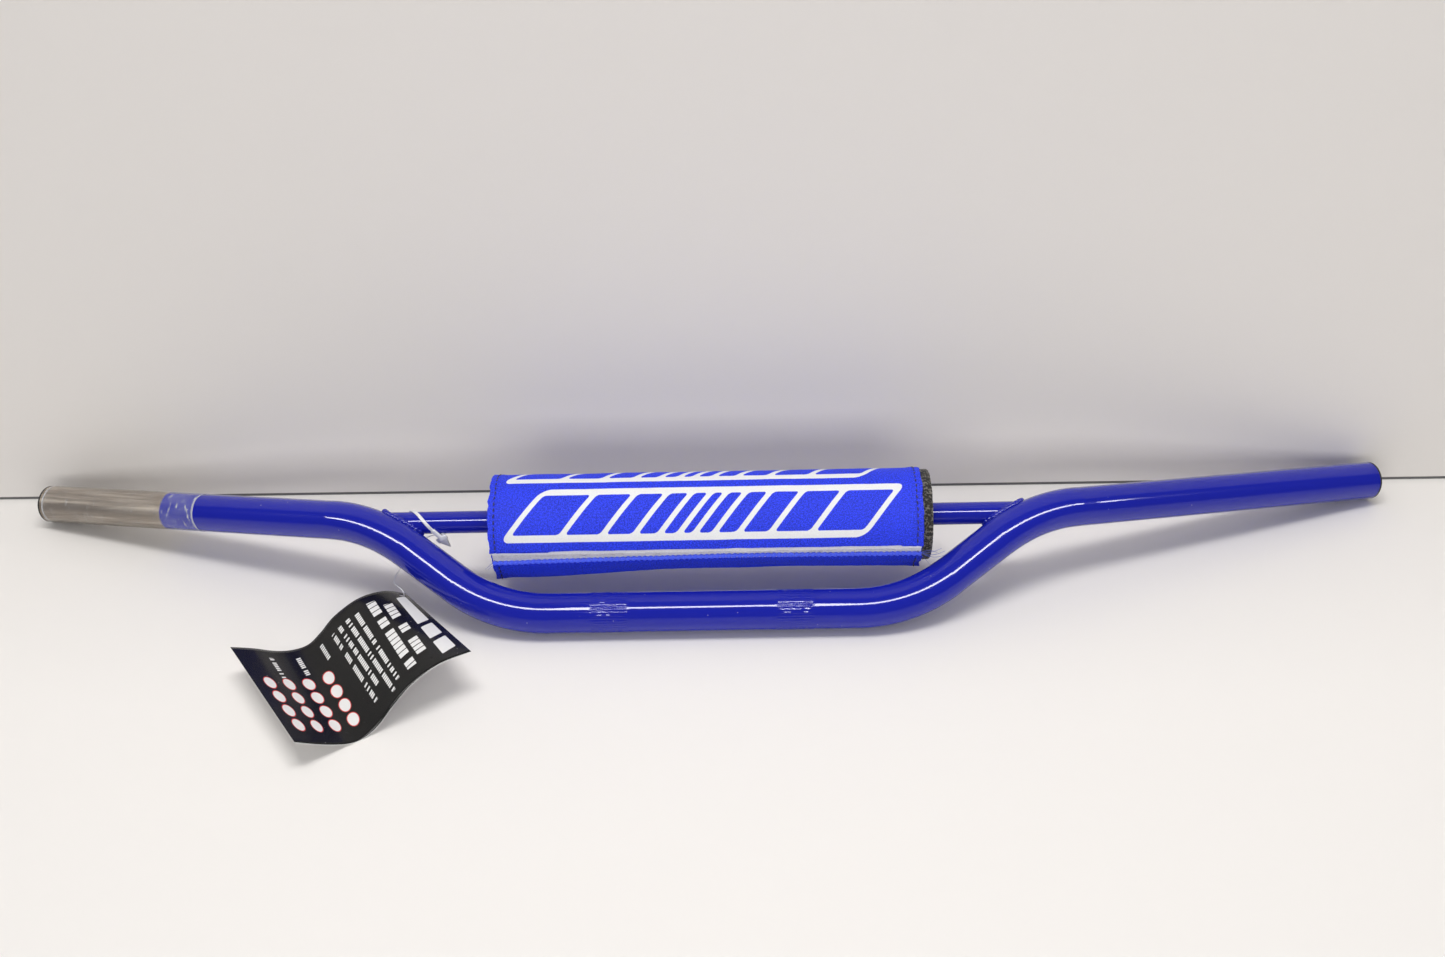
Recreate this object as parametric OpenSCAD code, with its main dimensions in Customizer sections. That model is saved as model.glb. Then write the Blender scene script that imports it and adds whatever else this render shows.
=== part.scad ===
// Crossbar handlebar with pad, lying on a table on its clamp section and its two ends.
// The origin is on the clamp section's axis at mid width. X runs along the bar,
// Y goes from the clamp section to the grip ends, and Z is up.

/* [Main tube] */
// Width between the tube's two cut ends
bar_w = 806; // [720:1:860]
// Outside diameter of the main tube
tube_d = 22.2; // [21:0.1:23]
// Wall of the main tube
tube_wall = 2; // [1.2:0.1:3]
// Half of the distance between the two lower bends' corners
low_bend_x = 113.5; // [105:0.5:125]
// Half of the distance between the two upper bends' corners
high_bend_x = 186.7; // [180:0.1:200]
// How far the upper bends' corners lie behind the clamp section
high_bend_y = 45.4; // [38:0.1:52]
// How far the upper bends' corners lie above the clamp section
high_bend_z = 31.3; // [26:0.1:38]
// How far the tube's ends lie behind the clamp section
end_y = 114.8; // [95:0.1:130]
// Centre line radius of the lower bends
low_bend_r = 86; // [70:1:92]
// Centre line radius of the upper bends
high_bend_r = 94; // [75:1:100]

/* [Knurled bands] */
// Distance of each band's middle from mid width
knurl_x = 51; // [45:0.5:60]
// Width of one band
knurl_w = 20; // [14:1:30]
// Grooves around one band
knurl_n = 43; // [30:1:48]
// Depth of a groove
knurl_depth = 0.3; // [0.1:0.05:0.5]

/* [Crossbar] */
// Outside diameter of the crossbar
cross_d = 12.7; // [11:0.1:14]
// Wall of the crossbar
cross_wall = 1.5; // [1:0.1:2.5]
// Place of the crossbar on the upper bend, from its lower to its upper end
cross_at = 0.6; // [0.5:0.01:0.8]
// Height of the crossbar's axis over the bend's centre line
cross_lift = 1.2; // [0:0.1:2.5]
// Radius of one weld ripple
weld_r = 2.3; // [2:0.1:2.6]
// How far a ripple's middle stands off the skins of both tubes
weld_out = 0.8; // [0.6:0.1:1.2]
// Distance from one weld ripple to the next
weld_pitch = 2.3; // [2:0.1:2.8]

/* [End plugs] */
// Thickness of a plug's flange
cap_flange = 1.5; // [1:0.1:3]
// Length of a plug's stem in the tube
cap_stem = 16; // [10:1:30]
// Wall of a plug's stem
cap_wall = 1.6; // [1:0.1:2.5]

/* [Film sleeve] */
// Length of the clear film on the left grip end
film_l = 100; // [60:1:140]
// Thickness of the clear film
film_t = 0.08; // [0.05:0.01:0.12]
// Distance of the film from the cut end of the tube
film_gap = 1; // [0.8:0.1:3]

/* [Pad] */
// Length of the foam
foam_l = 241; // [200:1:245]
// Diameter of the foam
foam_d = 50.8; // [44:0.2:56]
// Width of the slit in the foam
foam_slit = 1; // [0.5:0.1:3]
// Middle of the foam along the crossbar
foam_x = 7; // [0:0.5:12]
// Length of the cover
cover_l = 238.5; // [190:0.5:244]
// Thickness of the cover's cloth
cover_t = 0.8; // [0.5:0.1:1.5]
// Middle of the cover along the crossbar
cover_x = 2.5; // [-3:0.5:6]
// How far the front panel's lower edge stands off the foam more than its upper part
lap_rise = 2.8; // [2.5:0.1:4]
// Thickness of each fastening tape
tape_t = 0.6; // [0.4:0.1:0.8]

/* [Swing tag] */
// Width of the card
tag_w = 87; // [60:1:90]
// Thickness of the card
tag_t = 0.4; // [0.3:0.1:1]
// Diameter of the hole in the card
tag_hole_d = 3.2; // [2.5:0.1:5]
// Diameter of the filament
filament_d = 0.6; // [0.4:0.1:1]
// Width of the fastener's flat strap
strap_w = 2.4; // [1.5:0.1:3]
// Thickness of the fastener's flat strap
strap_t = 0.7; // [0.5:0.1:1]

/* [Hidden] */
$fn = 96;
// Clearance between pieces that touch
touch = 0.05;
// Overlap of shapes that make one solid
lap = 0.3;
// A bend is drawn this much larger than the straights that it takes in
bend_proud = 0.1;
paint = [0.15, 0.15, 0.62];
cloth = [0.1, 0.2, 0.85];

tube_r = tube_d / 2;
bore_r = tube_r - tube_wall;
cross_r = cross_d / 2;
foam_r = foam_d / 2;
table_z = -tube_r;

function unit(v) = v / norm(v);
// The part of v that is square to d, as a unit vector
function square_to(v, d) = unit(v - (v * d) * d);

// Corners of the right half's centre line, before the bends round them
low_corner = [low_bend_x, 0, 0];
high_corner = [high_bend_x, high_bend_y, high_bend_z];
level_end = [bar_w / 2, end_y, 0];
end_dip = unit(level_end - high_corner).z;
// The end's lowest point touches the table, as the clamp section does
end_point = [bar_w / 2, end_y, tube_r * (sqrt(1 - end_dip * end_dip) - 1)];
clamp_dir = [1, 0, 0];
leg_dir = unit(high_corner - low_corner);
grip_dir = unit(end_point - high_corner);
low_turn = acos(clamp_dir * leg_dir);
high_turn = acos(leg_dir * grip_dir);
low_reach = low_bend_r * tan(low_turn / 2);
high_reach = high_bend_r * tan(high_turn / 2);
low_side = square_to(leg_dir, clamp_dir);
high_side = square_to(grip_dir, leg_dir);
grip_side = square_to(leg_dir, grip_dir);
leg_l = norm(high_corner - low_corner) - low_reach - high_reach;
grip_l = norm(end_point - high_corner) - high_reach;
grip_start = high_corner + grip_dir * high_reach;
// The crossbar's axis crosses the upper bend's centre line here
join_turn = cross_at * high_turn;
bend_centre = high_corner - leg_dir * high_reach + high_side * high_bend_r;
bend_point = bend_centre - high_side * high_bend_r * cos(join_turn) + leg_dir * high_bend_r * sin(join_turn);
join = bend_point + [0, 0, cross_lift];
join_dir = leg_dir * cos(join_turn) + high_side * sin(join_turn);

// Places children at p with their z axis along d and their x axis along s
module aligned(p, d, s) {
    t = cross(d, s);
    multmatrix([[s.x, t.x, d.x, p.x], [s.y, t.y, d.y, p.y], [s.z, t.z, d.z, p.z]]) children();
}

module straight(p, d, s, l, r) {
    aligned(p, d, s) cylinder(r = r, h = l);
}

// A round bend from p, which starts along d and turns towards s
module bend(p, d, s, bend_r, turn, r) {
    over = asin(lap / bend_r);
    aligned(p, d, s)
        translate([bend_r, 0, 0])
            rotate([-90, 0, 0])
                rotate_extrude(angle = turn + 2 * over, start = 180 - over)
                    translate([bend_r, 0]) circle(r);
}

// Solid round bar of radius r along the right side's centre line, from the clamp section on
module right_run(r, past_end = 0) {
    bend(low_corner - clamp_dir * low_reach, clamp_dir, low_side, low_bend_r, low_turn, r + bend_proud);
    straight(low_corner + leg_dir * low_reach, leg_dir, high_side, leg_l, r);
    bend(high_corner - leg_dir * high_reach, leg_dir, high_side, high_bend_r, high_turn, r + bend_proud);
    straight(grip_start, grip_dir, grip_side, grip_l + past_end, r);
}

module both_sides() {
    children();
    mirror([1, 0, 0]) children();
}

module bar_run(r, past_end = 0) {
    both_sides() right_run(r, past_end);
    straight(-clamp_dir * (low_bend_x - low_reach), clamp_dir, low_side, 2 * (low_bend_x - low_reach), r);
}

// Star outline whose valleys lie at the grooves' depth
module groove_star() {
    step = 180 / knurl_n;
    polygon([for (i = [0:2 * knurl_n - 1])
        (i % 2 == 0 ? tube_r - knurl_depth : tube_r + knurl_depth) * [cos(i * step), sin(i * step)]]);
}

module groove_cutter() {
    translate([knurl_x - knurl_w / 2, 0, 0])
        rotate([90, 0, 90])
            linear_extrude(knurl_w)
                difference() {
                    circle(r = tube_r + 2 * knurl_depth);
                    groove_star();
                }
}

module main_tube() {
    color(paint)
        difference() {
            bar_run(tube_r);
            bar_run(bore_r, lap);
            both_sides() groove_cutter();
        }
}

// Places children with their z axis along the crossbar's axis, from mid width
module on_crossbar(x) {
    translate([x, join.y, join.z]) rotate([90, 0, 90]) children();
}

module crossbar() {
    color(paint)
        difference() {
            on_crossbar(-join.x) cylinder(r = cross_r, h = 2 * join.x);
            on_crossbar(-join.x - lap) cylinder(r = cross_r - cross_wall, h = 2 * (join.x + lap));
            both_sides() right_run(tube_r + touch);
        }
}

// Distance of a point from the main tube's centre line, near the upper bend
function off_line(p) =
    let (
        q = p - bend_centre,
        h = q * cross(leg_dir, high_side),
        on_bend = q * leg_dir > 0
    )
    on_bend ? norm([norm(q - h * cross(leg_dir, high_side)) - high_bend_r, h]) : norm(cross(p - high_corner, leg_dir));

// The x between lo and hi where a line along the crossbar at y and z comes as near the main tube as a ripple's middle
function seam_x(y, z, lo, hi, tries = 24) =
    tries == 0 ? lo
    : off_line([(lo + hi) / 2, y, z]) > tube_r + weld_out ? seam_x(y, z, (lo + hi) / 2, hi, tries - 1)
    : seam_x(y, z, lo, (lo + hi) / 2, tries - 1);

// The seam's point at angle a around the crossbar
function seam_point(a) =
    let (y = join.y + (cross_r + weld_out) * cos(a), z = join.z + (cross_r + weld_out) * sin(a))
    [seam_x(y, z, join.x - 2 * high_reach, join.x), y, z];

// The seam's angles against its length, so that ripples can be spaced evenly
seam_step = 5;
seam_table = [for (a = 0, s = 0; a <= 360; s = s + norm(seam_point(a + seam_step) - seam_point(a)), a = a + seam_step)
    [s, a]];
seam_l = seam_table[len(seam_table) - 1][0];
weld_n = round(seam_l / weld_pitch);

module right_weld() {
    color(paint)
        difference() {
            union() {
                for (i = [0:weld_n - 1])
                    translate(seam_point(lookup(seam_l * i / weld_n, seam_table))) sphere(r = weld_r, $fn = 32);
            }
            on_crossbar(0) cylinder(r = cross_r + touch, h = join.x);
            right_run(tube_r + touch);
        }
}

module left_weld() {
    mirror([1, 0, 0]) right_weld();
}

// Plug with a flange, a hollow stem and a lead-in
module plug() {
    stem_r = bore_r - touch;
    lead = 1;
    edge = 0.4;
    rotate_extrude()
        polygon([
            [0, 0], [tube_r, 0], [tube_r, cap_flange - edge], [tube_r - edge, cap_flange], [0, cap_flange]
        ]);
    rotate_extrude()
        polygon([
            [stem_r - cap_wall, lap], [stem_r - cap_wall, -cap_stem], [stem_r - lead, -cap_stem],
            [stem_r, -cap_stem + lead], [stem_r, lap]
        ]);
}

module right_end_plug() {
    color("black") aligned(end_point + grip_dir * touch, grip_dir, grip_side) plug();
}

module left_end_plug() {
    mirror([1, 0, 0]) right_end_plug();
}

module film_sleeve() {
    color([0.9, 0.9, 0.95, 0.4])
        mirror([1, 0, 0])
            aligned(end_point - grip_dir * (film_gap + film_l), grip_dir, grip_side)
                rotate_extrude()
                    translate([tube_r + touch, 0]) square([film_t, film_l]);
}

// Part of a tube wall around the z axis, between two angles
module wall_arc(r_in, t, from, to, l) {
    rotate_extrude(angle = to - from, start = from) translate([r_in, 0]) square([t, l]);
}

module foam_core() {
    color([0.2, 0.2, 0.2])
        on_crossbar(foam_x - foam_l / 2)
            difference() {
                cylinder(r = foam_r, h = foam_l);
                translate([0, 0, -lap]) cylinder(r = cross_r + touch, h = foam_l + 2 * lap);
                translate([0, -foam_slit / 2, -lap]) cube([foam_d, foam_slit, foam_l + 2 * lap]);
            }
}

// The cover is one cloth: the front panel comes from the back over the top and down to the front,
// and the lower flap comes from the back under the foam, hangs slack and goes up behind the panel
cover_in = foam_r + touch;
cover_out = cover_in + cover_t;
panel_edge = 176;
flap_end = 168;
flap_leaves = 205;
fold = [-0.65, -1.025] * foam_r;
// The slack part's cloth starts and ends inside the cloth that it joins
cloth_inset = 0.1;

module slack_flap(l) {
    near = cover_in + cloth_inset;
    t = cover_t - 2 * cloth_inset;
    foot = [lap, -near];
    top = near * [cos(flap_leaves - lap), sin(flap_leaves - lap)];
    low = unit(fold - foot);
    up = unit(top - fold);
    low_out = [-low.y, low.x] * t;
    up_out = [-up.y, up.x] * t;
    corner_out = (low_out + up_out) / (1 + low * up);
    linear_extrude(l) polygon([foot, fold, top, top + up_out, fold + corner_out, foot + low_out]);
}

module cover_section(l) {
    wall_arc(cover_in, cover_t, -90, 90, l);
    translate([0, -lap_rise, 0]) wall_arc(cover_in + lap_rise, cover_t, 90 - lap, panel_edge, l);
    wall_arc(cover_in, cover_t, flap_end, flap_leaves, l);
    slack_flap(l);
}

module pad_cover() {
    color(cloth) on_crossbar(cover_x - cover_l / 2) cover_section(cover_l);
}

loop_in = cover_out + touch;
module loop_tape() {
    color([0.9, 0.9, 0.9])
        on_crossbar(cover_x - cover_l / 2 + 1)
            wall_arc(loop_in, tape_t, flap_end + 2, flap_leaves - 8, cover_l - 2);
}

module hook_tape() {
    color([0.8, 0.8, 0.8])
        on_crossbar(cover_x - cover_l / 2 + 1)
            translate([0, -lap_rise, 0])
                wall_arc(cover_in + lap_rise - touch - tape_t, tape_t, panel_edge - 11, panel_edge - 1, cover_l - 2);
}

// Card: two long edges as height over the table against the way along the card
tag_corner = [-260.3, -11.2];
tag_along = [0.816, 0.578];
tag_across = [0.578, -0.816];
tag_first = 24.2;
tag_edge_a = [[-5, 19], [6, 12.5], [17, 5], [26, 1], [35, 0.1], [43, 4.5], [53, 12], [68, 17], [83, 15], [95, 7.5]];
tag_edge_b = [[-4.5, 17], [6, 9.5], [15, 4], [22, 0.8], [29, 0.1], [38, 4], [48.5, 13], [60, 21], [76, 26], [94, 25]];
tag_steps = 3;

// Smooth curve through the points of p, at s counted in points
function smooth(p, s) =
    let (
        i = min(floor(s), len(p) - 2),
        t = s - i,
        a = p[max(i - 1, 0)],
        b = p[i],
        c = p[i + 1],
        d = p[min(i + 2, len(p) - 1)]
    )
    0.5 * (2 * b + (c - a) * t + (2 * a - 5 * b + 4 * c - d) * t * t + (3 * b - a - 3 * c + d) * t * t * t);

// Point of the card's underside, s along the card in edge points and w across it from 0 to 1
function tag_point(s, w, up) =
    let (
        e = (1 - w) * smooth(tag_edge_a, s) + w * smooth(tag_edge_b, s),
        xy = tag_corner + tag_along * e.x + tag_across * (tag_first + tag_w * w)
    )
    [xy.x, xy.y, table_z + e.y + up];

// Middle of the hole, near the card's upper corner
tag_hole = tag_point(8.6, 0.055, 0);

// Both faces are split along the same diagonals, so that the twisted card keeps its thickness
module swing_tag() {
    n = (len(tag_edge_a) - 1) * tag_steps;
    rings = [for (i = [0:n]) each [
        tag_point(i / tag_steps, 0, 0), tag_point(i / tag_steps, 1, 0),
        tag_point(i / tag_steps, 1, tag_t), tag_point(i / tag_steps, 0, tag_t)
    ]];
    color("black")
        difference() {
            ring_body(rings, 4, 2);
            translate([tag_hole.x, tag_hole.y, table_z]) cylinder(d = tag_hole_d, h = tag_hole.z - table_z + 10);
        }
}

// Closed body over rings of k points each, with flat ends; side number turned is split along its other diagonal
module ring_body(points, k, turned = -1) {
    n = len(points) / k;
    faces = [
        [for (j = [0:k - 1]) k - 1 - j],
        [for (j = [0:k - 1]) (n - 1) * k + j],
        for (i = [0:n - 2], j = [0:k - 1]) each j == turned ? [
            [i * k + j, i * k + j + 1, (i + 1) * k + j],
            [i * k + j + 1, (i + 1) * k + j + 1, (i + 1) * k + j]
        ] : [
            [i * k + j, i * k + (j + 1) % k, (i + 1) * k + (j + 1) % k],
            [i * k + j, (i + 1) * k + (j + 1) % k, (i + 1) * k + j]
        ]
    ];
    polyhedron(points, faces);
}

// The fastener's strap goes once around the crossbar, from its socket to its arrow head
strap_in = cross_r + 2 * touch;
strap_from = -150;
strap_to = 190;
strap_x = [-146, -165, -151];
function strap_place(a) = a < 50
    ? strap_x[0] + (strap_x[1] - strap_x[0]) * (a - strap_from) / (50 - strap_from)
    : strap_x[1] + (strap_x[2] - strap_x[1]) * (a - 50) / (strap_to - 50);

module tag_lock() {
    steps = 34;
    rings = [for (i = [0:steps])
        let (a = strap_from + (strap_to - strap_from) * i / steps, x = strap_place(a))
        each [for (c = [[0, -1], [1, -1], [1, 1], [0, 1]])
            let (r = strap_in + c[0] * strap_t)
            [x + c[1] * strap_w / 2, join.y + r * cos(a), join.z + r * sin(a)]]];
    color("white") {
        ring_body(rings, 4);
        translate([strap_x[2], join.y - strap_in - strap_t, join.z - 1])
            rotate([0, -38, 0])
                rotate([90, 0, 0])
                    translate([0, 0, -strap_t])
                        linear_extrude(2 * strap_t)
                            polygon([
                                [-1.2, 1], [-1.2, -5], [-3.2, -5], [-3.2, -8], [-2.6, -8], [0, -13.5],
                                [2.6, -8], [3.2, -8], [3.2, -5], [1.2, -5], [1.2, 1]
                            ]);
    }
}

// The filament starts on the strap's outer side, and ends through the card's hole, on its rim
lock_a = -120;
lock_r = strap_in + strap_t + touch + filament_d / 2;
lock_skin = [strap_place(lock_a), join.y + lock_r * cos(lock_a), join.z + lock_r * sin(lock_a)];
hole_rim = (tag_hole_d - filament_d) / 2 - touch;
hole_side = [tag_along.x, tag_along.y, 0] * hole_rim;
filament_route = [
    lock_skin, [-154, 49, 19], [-162, 52, 13], [-169, 47, 7], [-174, 37, 3], [-175, 27, 2.5],
    tag_hole + hole_side + [-0.5, 0.5, 3], tag_hole + hole_side + [0, 0, -2]
];

module tag_filament() {
    sides = 8;
    n = (len(filament_route) - 1) * 4;
    at = [for (i = [0:n]) smooth(filament_route, i / 4)];
    rings = [for (i = [0:n])
        let (
            d = unit(at[min(i + 1, n)] - at[max(i - 1, 0)]),
            s = square_to([0, 0, 1], d),
            t = cross(d, s)
        )
        each [for (j = [0:sides - 1]) at[i] + filament_d / 2 * (s * cos(45 * j) + t * sin(45 * j))]];
    color("white") ring_body(rings, sides);
}

main_tube();
crossbar();
left_weld();
right_weld();
left_end_plug();
right_end_plug();
film_sleeve();
foam_core();
pad_cover();
loop_tape();
hook_tape();
swing_tag();
tag_lock();
tag_filament();
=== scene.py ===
"""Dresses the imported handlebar: paint, bare steel, film, foam, printed cloth, tapes and the card tag."""
import math

import bmesh
import bpy
import numpy as np
from bpy.props import FloatProperty, FloatVectorProperty, IntProperty, PointerProperty
from mathutils import Matrix, Vector, noise


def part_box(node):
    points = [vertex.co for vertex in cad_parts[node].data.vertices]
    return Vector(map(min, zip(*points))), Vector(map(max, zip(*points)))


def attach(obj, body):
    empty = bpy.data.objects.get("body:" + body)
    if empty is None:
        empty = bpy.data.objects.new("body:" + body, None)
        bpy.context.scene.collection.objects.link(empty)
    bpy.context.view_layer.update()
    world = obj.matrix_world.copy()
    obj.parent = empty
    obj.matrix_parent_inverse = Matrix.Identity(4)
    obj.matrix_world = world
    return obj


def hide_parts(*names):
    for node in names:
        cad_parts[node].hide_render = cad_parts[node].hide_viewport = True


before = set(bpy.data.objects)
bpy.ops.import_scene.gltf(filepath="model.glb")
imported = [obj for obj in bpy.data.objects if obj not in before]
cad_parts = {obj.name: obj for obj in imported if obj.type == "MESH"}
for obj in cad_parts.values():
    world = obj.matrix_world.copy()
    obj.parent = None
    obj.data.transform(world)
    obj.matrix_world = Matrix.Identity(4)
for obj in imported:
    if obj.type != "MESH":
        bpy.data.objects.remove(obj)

bl_info = {
    "name": "Crossbar handlebar",
    "version": (1, 0, 0),
    "blender": (4, 5, 0),
    "location": "View3D > Sidebar > Handlebar",
    "description": "Dresses a padded off-road handlebar with its finishes and soft parts",
    "category": "Add Mesh",
}

MM = 0.001
# The picture's width in pixels, and the focal length that was fitted to the bar in pixels
PICTURE_W = 1445
FOCAL_PX = 1514.85
SENSOR = 36.0
CAMERA_AT = (0.02621, -0.64854, 0.52806)
CAMERA_TILT = (-34.17, -1.157, -1.689)

cross_low, cross_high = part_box("crossbar")
cover_low, cover_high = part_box("pad_cover")
foam_low, foam_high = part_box("foam_core")
tube_low, tube_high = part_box("main_tube")
# The crossbar's axis, in millimetres behind and above the clamp section's axis
CROSS_Y = (cross_low.y + cross_high.y) / 2 / MM
CROSS_Z = (cross_low.z + cross_high.z) / 2 / MM
COVER_LEFT = cover_low.x / MM
COVER_RIGHT = cover_high.x / MM
TABLE = tube_low.z / MM
# The main tube's centre line: its two corners on the right side, their bends' radii, and the tube's end
LOW_CORNER = np.array([113.5, 0.0, 0.0])
HIGH_CORNER = np.array([186.7, 45.4, 31.3])
BEND_RADII = (86.0, 94.0)
BEND_PROUD = 0.1
END = np.array([403.0, 114.8, -0.104])
GRIP_DIR = np.array([0.94322, 0.30263, -0.13694])
BORE_R = 9.1
# Weld bead: how far its middle stands off both skins, and the length of one ripple
WELD_OUT = 0.35
WELD_PITCH = 2.3
TUBE_R = 11.1
CROSS_R = 6.35
# The knurled clamp bands: middle and width along the bar, and grooves around it
KNURL_X = 51.0
KNURL_W = 20.0
KNURL_N = 43
KNURL_DEPTH = 0.26
FOAM_R = 25.4


class HandlebarPaint(bpy.types.PropertyGroup):
    """Finish of the bar."""

    colour: FloatVectorProperty(
        name="Paint", description="Powder coat on both tubes", subtype="COLOR", size=4, min=0, max=1,
        default=(0.008, 0.014, 0.36, 1))
    steel: FloatVectorProperty(
        name="Bare steel", description="Unpainted end under the film", subtype="COLOR", size=4, min=0, max=1,
        default=(0.5, 0.44, 0.37, 1))
    peel: FloatProperty(
        name="Orange peel", description="How wavy the powder coat is", default=0.014, min=0, max=1)
    bare_l: FloatProperty(
        name="Bare length", description="Unpainted length of the left grip end", default=0.0905, min=0,
        unit="LENGTH")
    film_l: FloatProperty(
        name="Film length", description="Length of the clear film on it", default=0.1143, min=0, unit="LENGTH")


class HandlebarPad(bpy.types.PropertyGroup):
    """Finish of the pad."""

    cloth: FloatVectorProperty(
        name="Cloth", description="Woven cover", subtype="COLOR", size=4, min=0, max=1,
        default=(0.013, 0.042, 0.9, 1))
    print_colour: FloatVectorProperty(
        name="Print", description="Bars printed on the cover", subtype="COLOR", size=4, min=0, max=1,
        default=(0.9, 0.91, 0.93, 1))
    thread: FloatVectorProperty(
        name="Thread", description="Stitches in the hems", subtype="COLOR", size=4, min=0, max=1,
        default=(0.008, 0.012, 0.11, 1))
    tape: FloatVectorProperty(
        name="Tape", description="Hook and loop tape", subtype="COLOR", size=4, min=0, max=1,
        default=(0.95, 0.95, 0.99, 1))
    foam: FloatVectorProperty(
        name="Foam", description="Foam roll", subtype="COLOR", size=4, min=0, max=1,
        default=(0.026, 0.025, 0.023, 1))
    stitch_l: FloatProperty(
        name="Stitch", description="Length of one hem stitch", default=0.0024, min=0.001, unit="LENGTH")
    slack: FloatProperty(
        name="Slack", description="How far the lower flap sags at the left end", default=0.0016, min=0,
        max=0.004, unit="LENGTH")


class HandlebarTag(bpy.types.PropertyGroup):
    """Finish of the card tag."""

    card: FloatVectorProperty(
        name="Card", description="Printed ground of the card", subtype="COLOR", size=4, min=0, max=1,
        default=(0.003, 0.003, 0.004, 1))
    ink: FloatVectorProperty(
        name="Bars", description="Bars and ovals on the card", subtype="COLOR", size=4, min=0, max=1,
        default=(0.82, 0.82, 0.82, 1))
    rim: FloatVectorProperty(
        name="Oval rim", description="Thin rim of each oval", subtype="COLOR", size=4, min=0, max=1,
        default=(0.65, 0.05, 0.05, 1))
    ovals: IntProperty(name="Ovals", description="Ovals in one row across the card", default=4, min=1, max=6)


class HandlebarStage(bpy.types.PropertyGroup):
    """Table, wall and lamps."""

    table: FloatVectorProperty(
        name="Table", description="Colour of the table", subtype="COLOR", size=4, min=0, max=1,
        default=(0.86, 0.84, 0.82, 1))
    wall: FloatVectorProperty(
        name="Wall", description="Colour of the wall", subtype="COLOR", size=4, min=0, max=1,
        default=(0.83, 0.8, 0.775, 1))
    wall_y: FloatProperty(
        name="Wall distance", description="How far the wall is behind the clamp section", default=0.1345,
        unit="LENGTH")
    strip: FloatProperty(name="Strip lamp", description="Power of the mirrored lamp in front", default=74, min=0)
    soft: FloatProperty(name="Soft lamp", description="Power of the wide lamp above", default=21.5, min=0)
    fill: FloatProperty(name="Fill lamp", description="Power of the low lamp in front", default=9.5, min=0)
    sky: FloatProperty(name="Room light", description="Strength of the room's own light", default=0.3, min=0)
    mirrored: FloatProperty(
        name="Mirrored room", description="Strength of the room in reflections", default=0.13, min=0)


class Wires:
    """Adds shader nodes to one tree and joins them."""

    def __init__(self, tree):
        self.tree = tree

    def put(self, node, key, value):
        socket = node.inputs[key]
        if isinstance(value, bpy.types.NodeSocket):
            self.tree.links.new(value, socket)
        else:
            socket.default_value = value

    def node(self, kind, settings=(), **values):
        made = self.tree.nodes.new("ShaderNode" + kind)
        for key, value in dict(settings).items():
            setattr(made, key, value)
        for key, value in values.items():
            self.put(made, key.replace("_", " "), value)
        return made

    def math(self, operation, *values):
        made = self.tree.nodes.new("ShaderNodeMath")
        made.operation = operation
        for i, value in enumerate(values):
            self.put(made, i, value)
        return made.outputs[0]

    def vector(self, operation, *values):
        made = self.tree.nodes.new("ShaderNodeVectorMath")
        made.operation = operation
        for i, value in enumerate(values):
            self.put(made, 3 if operation == "SCALE" and i == 1 else i, value)
        return made.outputs[1 if operation in ("DOT_PRODUCT", "LENGTH") else 0]

    def mix(self, share, a, b):
        made = self.tree.nodes.new("ShaderNodeMix")
        made.data_type = "RGBA"
        for i, value in zip((0, 6, 7), (share, a, b)):
            self.put(made, i, value)
        return made.outputs[2]

    def blend(self, share, a, b):
        """Number between a and b."""
        made = self.tree.nodes.new("ShaderNodeMix")
        for i, value in zip((0, 2, 3), (share, a, b)):
            self.put(made, i, value)
        return made.outputs[0]

    def step(self, value, low, high):
        """Smooth rise from 0 at low to 1 at high."""
        made = self.node("MapRange", {"interpolation_type": "SMOOTHSTEP"}, From_Min=low, From_Max=high)
        self.put(made, 0, value)
        return made.outputs[0]

    def noise(self, vector, scale, detail=2.0, rough=0.5):
        return self.node("TexNoise", Vector=vector, Scale=scale, Detail=detail, Roughness=rough).outputs[0]

    def shade(self, colour, amount):
        """Colour times a number."""
        return self.vector("SCALE", colour, amount)

    def bump(self, height, strength, distance):
        return self.node("Bump", Height=height, Strength=strength, Distance=distance).outputs[0]

    def place(self):
        return self.node("TexCoord").outputs["Object"]

    def flat(self, layer):
        """Millimetres on the flat cloth or card, from the mesh's own layer."""
        return self.vector("SCALE", self.node("UVMap", {"uv_map": layer}).outputs[0], 100.0)


EFFECTS = {}


def effect(name, inputs, outputs, build):
    """Shared node group, built once from its named inputs and outputs."""
    tree = bpy.data.node_groups.new(name, "ShaderNodeTree")
    for label, kind in inputs:
        tree.interface.new_socket(label, in_out="INPUT", socket_type="NodeSocket" + kind)
    for label, kind in outputs:
        tree.interface.new_socket(label, in_out="OUTPUT", socket_type="NodeSocket" + kind)
    start = tree.nodes.new("NodeGroupInput")
    end = tree.nodes.new("NodeGroupOutput")
    results = build(Wires(tree), *[start.outputs[label] for label, _ in inputs])
    for socket, value in zip(end.inputs, results):
        tree.links.new(value, socket)
    EFFECTS[name] = tree


def use(wires, name, **values):
    """Puts a shared group in a material and returns its outputs by name."""
    made = wires.tree.nodes.new("ShaderNodeGroup")
    made.node_tree = EFFECTS[name]
    for key, value in values.items():
        wires.put(made, key, value)
    return made.outputs


def peel_effect(w, place, scale):
    broad = w.noise(place, scale, 1.0, 0.4)
    fine = w.noise(place, w.math("MULTIPLY", scale, 4.0), 1.0, 0.4)
    return [w.math("MULTIPLY_ADD", fine, 0.15, broad)]


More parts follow.
